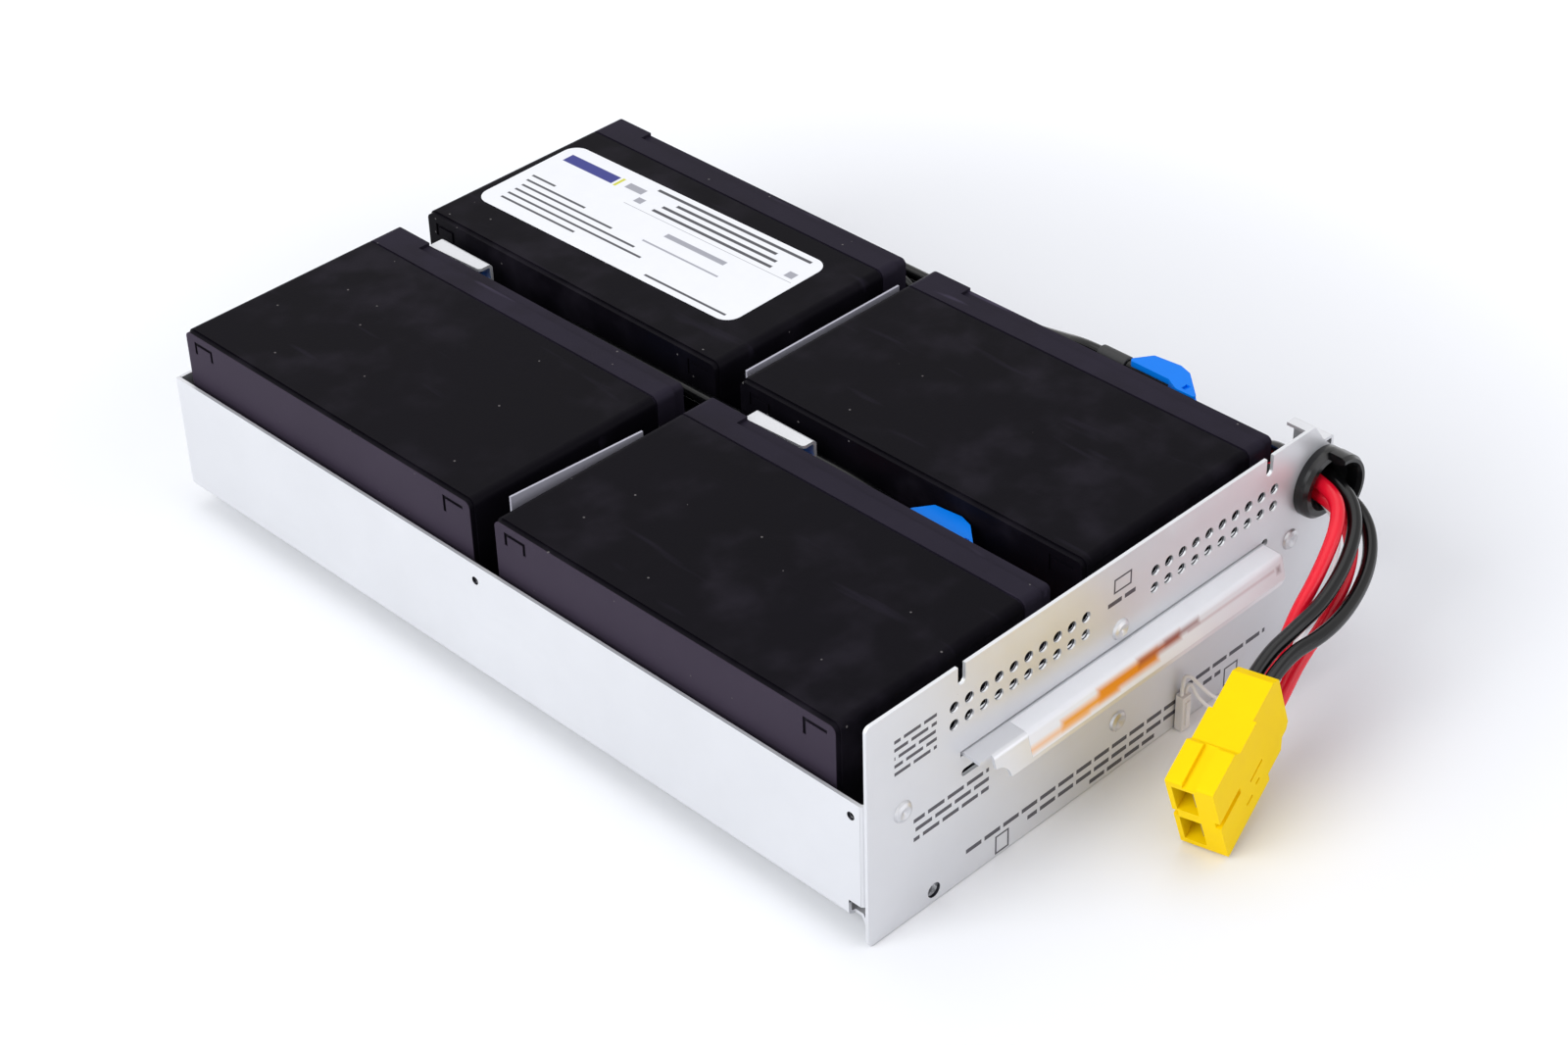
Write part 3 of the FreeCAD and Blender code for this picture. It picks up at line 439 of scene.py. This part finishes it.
def battery_paint(name, colour, gain=1.0):
    """Black moulded plastic with grain, handling marks lightened in patches as a painted sheen,
    dust, and a painted lilac sheen on the left row's base faces.
    """
    paint = Paint(name)
    grain = paint.use("grain", Grain_size=1100.0, Cloud_size=16.0)
    dust = paint.use("dust", Spacing=260.0, Speck_size=0.10, Share=0.05)
    tone = paint.mix(grain.outputs["Cloud"], shade(colour, 0.75), shade(colour, 1.5))
    # lighter cloudy patches: handling smudges and a painted sheen
    smudge_sheen_noise = paint.use("grain", Grain_size=55.0, Cloud_size=12.0)
    both = paint.math("MULTIPLY", smudge_sheen_noise.outputs["Cloud"], smudge_sheen_noise.outputs["Grain"])
    smudge_sheen_mask = paint.limit(both, SMUDGE_SHEEN_FROM, SMUDGE_SHEEN_TO)
    tone = paint.mix(smudge_sheen_mask, tone, shade(SMUDGE_SHEEN_COLOUR, gain))
    tone = paint.mix(dust.outputs["Scuffs"], tone, shade(colour, 4.0))
    # painted sheen: the left row's base faces, lit from the left, are painted lilac grey
    side_sheen_mask = paint.area(*SIDE_SHEEN_FACES, SHARP)
    tone = paint.mix(side_sheen_mask, tone, paint.mix(grain.outputs["Cloud"], *SIDE_SHEEN))
    tone = paint.mix(dust.outputs["Specks"], tone, DUST)
    paint.colour(tone)
    paint.rough(paint.spread(grain.outputs["Cloud"], 0.34, 0.56))
    paint.set(Specular_IOR_Level=0.03)
    paint.bump(grain.outputs["Grain"], distance=0.00006, strength=0.4)
    return paint.material


def plastic_paint(name, colour, rough, grain_size=700.0, vary=0.12, metallic=0.0, gloss=0.5):
    """A moulded, extruded or drawn piece: slight tone changes, grain and uneven gloss."""
    paint = Paint(name)
    grain = paint.use("grain", Grain_size=grain_size, Cloud_size=60.0)
    paint.colour(paint.mix(grain.outputs["Cloud"], shade(colour, 1.0 - vary),
                           shade(colour, 1.0 + vary)))
    paint.rough(paint.spread(grain.outputs["Cloud"], rough - 0.06, rough + 0.08))
    paint.set(Metallic=metallic, Specular_IOR_Level=gloss)
    paint.bump(grain.outputs["Grain"], distance=0.00003, strength=0.3)
    return paint.material


TAPED = (at(39.0, 10.0, 56.0), (50.0, 12.0, 15.0))               # the length wrapped in tape


def taped_wire_paint(colour, tape):
    """A lead that is wrapped in black tape where it crosses behind the panel."""
    paint = Paint("taped_wire")
    grain = paint.use("grain", Grain_size=700.0, Cloud_size=60.0)
    wrap = paint.area(*TAPED, 2 * SHARP)
    tone = paint.mix(grain.outputs["Cloud"], shade(colour, 0.9), shade(colour, 1.1))
    paint.colour(paint.mix(wrap, tone, tape))
    paint.rough(paint.spread(wrap, 0.26, 0.6))
    paint.set(Specular_IOR_Level=0.3)
    paint.bump(grain.outputs["Grain"], distance=0.00003, strength=0.3)
    return paint.material


INK, PALE_INK = (0.04, 0.04, 0.05), (0.34, 0.34, 0.38)
BLUE_INK, YELLOW_INK = (0.002, 0.008, 0.20), (0.62, 0.60, 0.02)
# fields on the battery label: colour, start and end along it, middle across it, width across it
LABEL_FIELDS = (
    (BLUE_INK, 4.6, 30.8, 61.6, 5.6),
    (YELLOW_INK, 31.6, 33.2, 61.6, 6.2),
    (PALE_INK, 36.0, 45.0, 62.2, 3.8),
    (INK, 44.0, 128.0, 52.6, 0.45),
    (PALE_INK, 45.6, 49.6, 57.2, 3.6),
    (PALE_INK, 122.2, 126.4, 56.4, 4.0),
    (PALE_INK, 72.0, 102.0, 46.5, 2.8),
    (PALE_INK, 68.0, 106.0, 38.7, 1.2),
    (INK, 85.5, 125.6, 22.8, 1.4),
)
# blocks of even rules on it: the first's place across it, pitch, width, each rule's start and end
LABEL_BLOCKS = (
    (44.0, 3.55, 1.4, ((4.5, 17.0), (5.3, 36.6), (6.6, 54.3), (6.8, 69.6), (6.8, 76.5),
                       (7.0, 46.0))),
    (67.0, 3.75, 1.8, ((47.3, 124.3), (60.7, 111.0), (57.0, 114.4), (55.7, 115.6))),
)
LABEL_START, LABEL_TOP = 323.0, 74.1     # where the label starts at the rear, and its height
LABEL_PIVOT = at(45.0, 258.0, 0.0)       # it is stuck on slightly askew, turned about this place
LABEL_SKEW = math.radians(1.2)
LABEL_REACH, LABEL_EDGE = 2.0, 0.0003    # how far its print reaches up and down, and edge width


def label_paint(colour):
    """White label stock with plain fields and rules where a maker would print."""
    paint = Paint("battery_label_print")
    turned = paint.tree.nodes.new("ShaderNodeVectorRotate")
    turned.rotation_type = "Z_AXIS"
    turned.inputs["Center"].default_value = LABEL_PIVOT
    turned.inputs["Angle"].default_value = -LABEL_SKEW
    paint.tree.links.new(paint.place, turned.inputs["Vector"])
    paint.place = turned.outputs["Vector"]
    grain = paint.use("grain", Grain_size=900.0, Cloud_size=120.0)
    tone = paint.mix(grain.outputs["Cloud"], shade(colour, 0.97), shade(colour, 1.03))
    fields = list(LABEL_FIELDS)
    for first, pitch, width, rows in LABEL_BLOCKS:
        fields += [(INK, start, end, first - pitch * row, width)
                   for row, (start, end) in enumerate(rows)]
    for ink, start, end, across, width in fields:
        field = paint.area(at(across, LABEL_START - (start + end) / 2, LABEL_TOP),
                           (width / 2, (end - start) / 2, LABEL_REACH), LABEL_EDGE)
        tone = paint.mix(field, tone, ink)
    paint.colour(tone)
    paint.set(Roughness=0.36)
    paint.bump(grain.outputs["Grain"], distance=0.00002, strength=0.2)
    return paint.material


# fields on the handle label, orange print that darkens to red and maroon as painted shade of the
# fold: colour, middle and half size along the fold, height, half height
HANDLE_PRINT_AND_SHADE = (
    ((0.92, 0.50, 0.22), -40.0, 16.0, 44.9, 2.0),
    ((0.88, 0.36, 0.05), -24.0, 14.0, 46.0, 2.6),
    ((0.82, 0.27, 0.01), -6.0, 15.0, 47.2, 3.2),
    ((0.45, 0.10, 0.02), 9.0, 11.0, 48.4, 2.4),
    ((0.26, 0.06, 0.05), 20.0, 9.0, 48.8, 1.8),
    ((0.40, 0.16, 0.16), 44.0, 22.0, 47.6, 0.9),
    ((0.16, 0.03, 0.03), 67.5, 1.6, 47.0, 1.8),
)
FOLD_MIDDLE, FOLD_HALF = -9.0, 4.5       # where the fold lies from front to back
FOLD_EDGE = 0.0024                       # the fields run softly into each other


def handle_label_paint(colour):
    """White label stock with a soft run of colour along the fold: orange print that darkens to
    dark red as painted shade.
    """
    paint = Paint("handle_label_print_and_shade")
    grain = paint.use("grain", Grain_size=900.0, Cloud_size=120.0)
    tone = paint.mix(grain.outputs["Cloud"], shade(colour, 0.97), shade(colour, 1.03))
    # orange print, then dark red and maroon fields painted as the fold's shade
    for ink, middle, half, height, rise in HANDLE_PRINT_AND_SHADE:
        field = paint.area(at(middle, FOLD_MIDDLE, height), (half, FOLD_HALF, rise), FOLD_EDGE)
        tone = paint.mix(field, tone, ink)
    paint.colour(tone)
    paint.set(Roughness=0.38)
    paint.bump(grain.outputs["Grain"], distance=0.00002, strength=0.2)
    return paint.material


PAINTS = {}


def paints():
    """Every material of the cartridge, by the name of its slot in the record, built once."""
    if PAINTS:
        return PAINTS
    settings = bpy.context.scene.cartridge_finish
    battery, red = tuple(settings.battery), tuple(settings.red_lead)
    PAINTS["galvanised_steel"] = steel_paint(tuple(settings.steel))
    PAINTS["battery_plastic"] = battery_paint("battery_plastic", battery)
    # the lids take a lighter copy of the battery plastic: a painted sheen in place of the light
    # their ledges catch
    PAINTS["lid_plastic"] = battery_paint("lid_plastic", shade(battery, 5.2), 1.3)
    PAINTS["battery_label"] = label_paint(tuple(settings.label))
    PAINTS["handle_label"] = handle_label_paint(tuple(settings.label))
    PAINTS["taped_wire"] = taped_wire_paint(red, (0.004, 0.004, 0.004))
    PAINTS["rivet_metal"] = plastic_paint("rivet_aluminium", (0.62, 0.62, 0.64), 0.36,
                                          grain_size=900.0, metallic=0.75)
    for name, colour, rough, more in (
            ("tinned_blade", (0.66, 0.65, 0.62), 0.32, {"metallic": 0.9}),
            # the silvered contacts are dimmed and tinted yellow: painted shade and a painted
            # yellow reflection inside the sockets
            ("contact_metal", (0.42, 0.36, 0.26), 0.34, {"metallic": 0.9}),
            ("blue_insulator", tuple(settings.insulator), 0.36, {"vary": 0.08, "gloss": 0.16}),
            ("yellow_plastic", tuple(settings.connector), 0.52,
             {"grain_size": 500.0, "vary": 0.05, "gloss": 0.08}),
            ("bushing_plastic", (0.004, 0.004, 0.0045), 0.24, {"gloss": 0.4}),
            ("white_plastic", (0.72, 0.69, 0.68), 0.42, {"vary": 0.04}),
            ("pale_strip", (0.42, 0.41, 0.47), 0.55, {}),
            ("black_sleeve", (0.010, 0.010, 0.011), 0.5, {}),
            ("white_wire", (0.78, 0.77, 0.78), 0.36, {"vary": 0.04}),
            ("red_wire", red, 0.24, {"vary": 0.10, "gloss": 0.35}),
            ("black_wire", tuple(settings.black_lead), 0.20, {"vary": 0.25, "gloss": 0.32})):
        PAINTS[name] = plastic_paint(name, colour, rough, **more)
    return PAINTS


def dress(obj, paint):
    """Give an object one material on every face."""
    obj.data.materials.clear()
    obj.data.materials.append(paint)


LID_EDGE = 0.00035                   # width of a lid's broken edges


def soften(obj, width):
    """Break the sharp edges of a solid so that they catch light."""
    bevel = obj.modifiers.new("Broken edges", "BEVEL")
    bevel.width = width
    bevel.segments = 2
    bevel.limit_method = "ANGLE"
    bevel.angle_limit = math.radians(38.0)
    bevel.harden_normals = True


def dress_nodes(names, paint):
    """Give nodes of the part one of the cartridge's materials."""
    for name in names:
        dress(NODES[name], paints()[paint])


def starting(*prefixes):
    """The names of the nodes that start in one of these ways."""
    return sorted(n for n in NODES if n.startswith(prefixes))


# --- the wires -----------------------------------------------------------------------------------
# the connector's own axes: from its mating face to its leads, from the black pole to the red one,
# and through its thickness
ALONG = Vector((0.911, 0.214, 0.352)).normalized()
ACROSS = Vector((0.349, 0.050, -0.936))
ACROSS = (ACROSS - ALONG * ACROSS.dot(ALONG)).normalized()
THROUGH = ALONG.cross(ACROSS)
MATING_FACE = Vector(at(-15.9, -45.64, 17.34))


def in_plug(along, across, through):
    """A point of the connector's own frame, in millimetres, in metres of the cartridge's frame."""
    return tuple(MATING_FACE + (ALONG * along + ACROSS * across + THROUGH * through) / MM)


POCKET = 39.05                       # depth of the wire pockets, from the mating face
RED_POLE, BLACK_POLE = 8.0, -8.0     # places of the two poles across the connector
NEAR, FAR = 2.65, -2.65              # the two leads of a pole, through the thickness
# material and control points of each lead, from the cable bushing to the connector
LEADS = {
    "lead_red_a": ("red_wire", [
        at(95.25, 3.0, 64.45), at(94.1, -9.0, 64.4), at(86.3, -18.0, 61.2), at(69.5, -23.5, 52.3),
        at(53.0, -26.0, 43.0), in_plug(57.0, RED_POLE, NEAR), in_plug(POCKET, RED_POLE, NEAR)]),
    "lead_black_a": ("black_wire", [
        at(100.15, 3.0, 64.45), at(99.3, -9.2, 63.7), at(93.5, -19.6, 58.5),
        at(79.5, -26.8, 53.2), at(61.5, -31.2, 48.6), at(46.4, -32.0, 47.2),
        in_plug(54.8, BLACK_POLE, NEAR), in_plug(POCKET, BLACK_POLE, NEAR)]),
    "lead_black_b": ("black_wire", [
        at(100.15, 3.0, 59.55), at(102.3, -8.6, 58.4), at(101.0, -19.0, 52.5),
        at(91.5, -27.5, 47.2), at(75.0, -34.2, 44.4), at(55.0, -38.3, 44.2),
        in_plug(57.0, BLACK_POLE, FAR), in_plug(POCKET, BLACK_POLE, FAR)]),
    "lead_red_b": ("red_wire", [
        at(95.25, 3.0, 59.55), at(96.0, -8.6, 58.3), at(92.5, -19.0, 52.5), at(81.0, -26.5, 46.5),
        at(64.0, -31.5, 40.5), at(48.0, -33.2, 34.0), in_plug(53.5, RED_POLE, FAR),
        in_plug(POCKET, RED_POLE, FAR)]),
}
# control points of the sense wires, from the cable bushing to the small plug
SENSE_WIRES = {
    "sense_wire_a": [
        at(96.9, 3.0, 56.3), at(96.6, -8.4, 55.3), at(90.5, -13.5, 44.0), at(76.0, -14.5, 28.0),
        at(60.0, -14.0, 13.4), at(47.6, -12.0, 5.4), at(40.0, -7.6, 9.8), at(35.4, -3.8, 17.4),
        at(33.0, -2.6, 20.8), at(30.5, -2.0, 20.8), at(30.5, -2.0, 11.05)],
    "sense_wire_b": [
        at(98.5, 3.0, 56.3), at(98.4, -8.4, 55.0), at(92.4, -15.1, 42.6), at(78.0, -16.4, 26.0),
        at(61.5, -15.8, 10.8), at(47.6, -13.0, 2.2), at(38.8, -7.6, 6.0), at(35.0, -4.3, 12.2),
        at(34.6, -2.7, 16.4), at(32.5, -2.0, 16.4), at(32.5, -2.0, 11.05)],
}


def wire_curve(name, points, diameter, paint):
    """A smooth round wire through its route's control points."""
    curve = bpy.data.curves.new(name, "CURVE")
    curve.dimensions = "3D"
    curve.bevel_depth = diameter / 2
    curve.bevel_resolution = 6
    curve.resolution_u = 10
    curve.use_fill_caps = True
    spline = curve.splines.new("NURBS")
    spline.points.add(len(points) - 1)
    for point, place in zip(spline.points, points):
        point.co = (*place, 1.0)
    spline.order_u = 3
    spline.use_endpoint_u = True
    obj = bpy.data.objects.new(name, curve)
    bpy.context.scene.collection.objects.link(obj)
    obj.data.materials.append(paint)
    return obj


def lay_wire(name, points, diameter, paint):
    """Lay one wire of the part as a round curve through its points from the bushing to its plug,
    fixed to the root body, and hide the part's own wire.
    """
    obj = wire_curve(name + "_wire", points, diameter, paints()[paint])
    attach(obj, "root")
    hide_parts(name)


# --- the studio ----------------------------------------------------------------------------------
WHITE = (1.0, 1.0, 1.0)
FLOOR_COLOUR = (0.90, 0.90, 0.91)
FLOOR_DROP = 0.0003                  # the floor lies this much below the panel's lower edge
FADE_FROM, FADE_TO = 0.22, 0.75      # distances over which the floor turns to plain white
SKY_COLOUR, SKY_LEVEL = (0.92, 0.94, 1.0), 0.55      # the world as it lights the scene
# each lamp's name, place, target, size, power and colour
LAMPS = (
    ("window_left", (-1.5, 0.1, 1.1), (0.0, 0.0, 0.03), 1.3, 22.5, (0.95, 0.98, 1.0)),
    ("soft_top", (0.2, 0.3, 1.7), (0.0, 0.0, 0.0), 1.6, 8.0, WHITE),
    ("fill_front", (0.5, -1.6, 0.8), (0.0, 0.0, 0.03), 1.2, 6.0, (0.96, 0.95, 1.0)),
)
CAMERA_PLACE = at(-609.7, -487.8, 663.2)
SENSOR_WIDTH = 36.0


def seen_ray(tree):
    """1 for rays from the camera and for mirrored or transmitted ones, which see plain white."""
    rays = tree.nodes.new("ShaderNodeLightPath")
    mirrored = math_node(tree, "MAXIMUM", rays.outputs["Is Glossy Ray"],
                         rays.outputs["Is Transmission Ray"])
    return math_node(tree, "MAXIMUM", rays.outputs["Is Camera Ray"], mirrored)


def floor_paint():
    """Matt white; far from the cartridge it is plain white, to the eye and in reflections."""
    paint = Paint("studio_white")
    paint.set(Base_Color=(*FLOOR_COLOUR, 1.0), Roughness=0.9, Specular_IOR_Level=0.1,
              Emission_Color=(*WHITE, 1.0))
    reach = vector_node(paint.tree, "LENGTH", paint.place)
    glow = paint.math("MULTIPLY", paint.limit(reach, FADE_FROM, FADE_TO), seen_ray(paint.tree))
    paint.tree.links.new(glow, paint.shader.inputs["Emission Strength"])
    return paint.material


def add_floor(scene):
    """A wide floor under the cartridge."""
    mesh = bpy.data.meshes.new("studio_floor")
    form = bmesh.new()
    bmesh.ops.create_grid(form, x_segments=4, y_segments=4, size=6.0)
    form.to_mesh(mesh)
    form.free()
    mesh.materials.append(floor_paint())
    floor = bpy.data.objects.new("studio_floor", mesh)
    floor.location = (0.0, 0.0, -FLOOR_DROP)
    scene.collection.objects.link(floor)


def add_world(scene):
    """A faintly blue light all round, from a world that looks plain white."""
    world = bpy.data.worlds.new("studio_world")
    scene.world = world
    world.use_nodes = True
    tree = world.node_tree
    background = tree.nodes["Background"]
    seen = seen_ray(tree)
    level = math_node(tree, "MULTIPLY_ADD", seen, 1.0 - SKY_LEVEL, SKY_LEVEL)
    tree.links.new(colour_mix(tree, seen, SKY_COLOUR, WHITE), background.inputs["Color"])
    tree.links.new(level, background.inputs["Strength"])


def add_lamps(scene):
    """Soft square lamps, each turned to its target."""
    for name, place, target, size, power, colour in LAMPS:
        lamp = bpy.data.lights.new(name, "AREA")
        lamp.size = size
        lamp.energy = power
        lamp.color = colour
        holder = bpy.data.objects.new(name, lamp)
        holder.location = place
        aim = Vector(target) - Vector(place)
        holder.rotation_euler = aim.to_track_quat("-Z", "Y").to_euler()
        scene.collection.objects.link(holder)


def add_camera(scene):
    """The camera at its place, turned by the studio's settings."""
    settings = scene.cartridge_studio
    camera = bpy.data.cameras.new("camera")
    camera.sensor_width = SENSOR_WIDTH
    camera.lens = settings.lens
    camera.clip_start, camera.clip_end = 0.05, 20.0
    eye = bpy.data.objects.new("camera", camera)
    turn, height, roll = settings.turn, settings.height, settings.roll
    back = Vector((math.sin(turn) * math.cos(height), -math.cos(turn) * math.cos(height),
                   math.sin(height)))
    level = Vector((math.cos(turn), math.sin(turn), 0.0))
    rise = back.cross(level)
    right = level * math.cos(roll) + rise * math.sin(roll)
    up = rise * math.cos(roll) - level * math.sin(roll)
    eye.matrix_world = Matrix.Translation(CAMERA_PLACE) @ Matrix(
        (right, up, back)).transposed().to_4x4()
    scene.collection.objects.link(eye)
    scene.camera = eye


# --- operators -----------------------------------------------------------------------------------
class CARTRIDGE_OT_tray(bpy.types.Operator):
    """Finish the folded tray, the handle, the guards and the rivets"""

    bl_idname = "cartridge.tray"
    bl_label = "Tray and handle"

    def execute(self, context):
        dress_nodes(["chassis_tray", "pull_handle", "panel_angle", "guard_front", "guard_rear"],
                    "galvanised_steel")
        dress_nodes(starting("rivet_"), "rivet_metal")
        return {"FINISHED"}


class CARTRIDGE_OT_batteries(bpy.types.Operator):
    """Finish the four batteries and the strips between them"""

    bl_idname = "cartridge.batteries"
    bl_label = "Batteries"

    def execute(self, context):
        dress_nodes(starting("case_"), "battery_plastic")
        dress_nodes(starting("lid_"), "lid_plastic")
        for name in starting("lid_"):
            soften(NODES[name], LID_EDGE)
        dress_nodes(starting("gap_strip"), "pale_strip")
        dress_nodes(starting("blade_"), "tinned_blade")
        dress_nodes(starting("boot_"), "blue_insulator")
        return {"FINISHED"}


class CARTRIDGE_OT_leads(bpy.types.Operator):
    """Lay the leads and the sense wires from the bushing to their plugs"""

    bl_idname = "cartridge.leads"
    bl_label = "Leads"

    def execute(self, context):
        sizes = context.scene.cartridge_leads
        for name, (paint, points) in LEADS.items():
            lay_wire(name, points, sizes.lead_diameter, paint)
        for name, points in SENSE_WIRES.items():
            lay_wire(name, points, sizes.sense_diameter, "white_wire")
        dress_nodes(["inner_red_a"], "taped_wire")
        dress_nodes(["inner_red_b"], "red_wire")
        dress_nodes(starting("inner_black", "jumper_left", "jumper_right"), "black_wire")
        dress_nodes(starting("inner_sense"), "white_wire")
        dress_nodes(["jumper_sleeve", "sensor_bead"], "black_sleeve")
        return {"FINISHED"}


class CARTRIDGE_OT_fittings(bpy.types.Operator):
    """Finish the bushing, the connector with its contacts and the small white plug"""

    bl_idname = "cartridge.fittings"
    bl_label = "Bushing and plugs"

    def execute(self, context):
        dress_nodes(["cable_bushing"], "bushing_plastic")
        dress_nodes(["connector_housing"], "yellow_plastic")
        dress_nodes(starting("connector_contact"), "contact_metal")
        dress_nodes(["sense_plug"], "white_plastic")
        return {"FINISHED"}


class CARTRIDGE_OT_labels(bpy.types.Operator):
    """Finish the battery label and the handle's folded label"""

    bl_idname = "cartridge.labels"
    bl_label = "Labels"

    def execute(self, context):
        dress_nodes(["battery_label"], "battery_label")
        dress_nodes(["handle_label"], "handle_label")
        return {"FINISHED"}


class CARTRIDGE_OT_stage(bpy.types.Operator):
    """Set the floor, the lamps, the world and the camera"""

    bl_idname = "cartridge.stage"
    bl_label = "Studio"

    def execute(self, context):
        add_floor(context.scene)
        add_world(context.scene)
        add_lamps(context.scene)
        add_camera(context.scene)
        context.scene.view_settings.view_transform = "Standard"
        return {"FINISHED"}


class CARTRIDGE_PT_panel(bpy.types.Panel):
    """Steps and settings of the cartridge"""

    bl_idname = "CARTRIDGE_PT_panel"
    bl_label = "Battery cartridge"
    bl_space_type = "VIEW_3D"
    bl_region_type = "UI"
    bl_category = "Cartridge"

    def draw(self, context):
        layout = self.layout
        for step in STEPS:
            layout.operator(step.bl_idname)
        for holder in ("cartridge_finish", "cartridge_leads", "cartridge_studio"):
            settings = getattr(context.scene, holder)
            box = layout.box()
            for name in settings.__annotations__:
                box.prop(settings, name)


STEPS = (CARTRIDGE_OT_tray, CARTRIDGE_OT_batteries, CARTRIDGE_OT_leads, CARTRIDGE_OT_fittings,
         CARTRIDGE_OT_labels, CARTRIDGE_OT_stage)
CLASSES = (FinishSettings, LeadSettings, StudioSettings, *STEPS, CARTRIDGE_PT_panel)


def register():
    """Add the classes and the scene's settings."""
    for cls in CLASSES:
        bpy.utils.register_class(cls)
    bpy.types.Scene.cartridge_finish = bpy.props.PointerProperty(type=FinishSettings)
    bpy.types.Scene.cartridge_leads = bpy.props.PointerProperty(type=LeadSettings)
    bpy.types.Scene.cartridge_studio = bpy.props.PointerProperty(type=StudioSettings)


def unregister():
    """Take the scene's settings and the classes away again."""
    del bpy.types.Scene.cartridge_studio
    del bpy.types.Scene.cartridge_leads
    del bpy.types.Scene.cartridge_finish
    for cls in reversed(CLASSES):
        bpy.utils.unregister_class(cls)


def main():
    """Run every step once."""
    register()
    bpy.ops.cartridge.tray()
    bpy.ops.cartridge.batteries()
    bpy.ops.cartridge.leads()
    bpy.ops.cartridge.fittings()
    bpy.ops.cartridge.labels()
    bpy.ops.cartridge.stage()


if __name__ == "__main__":
    main()
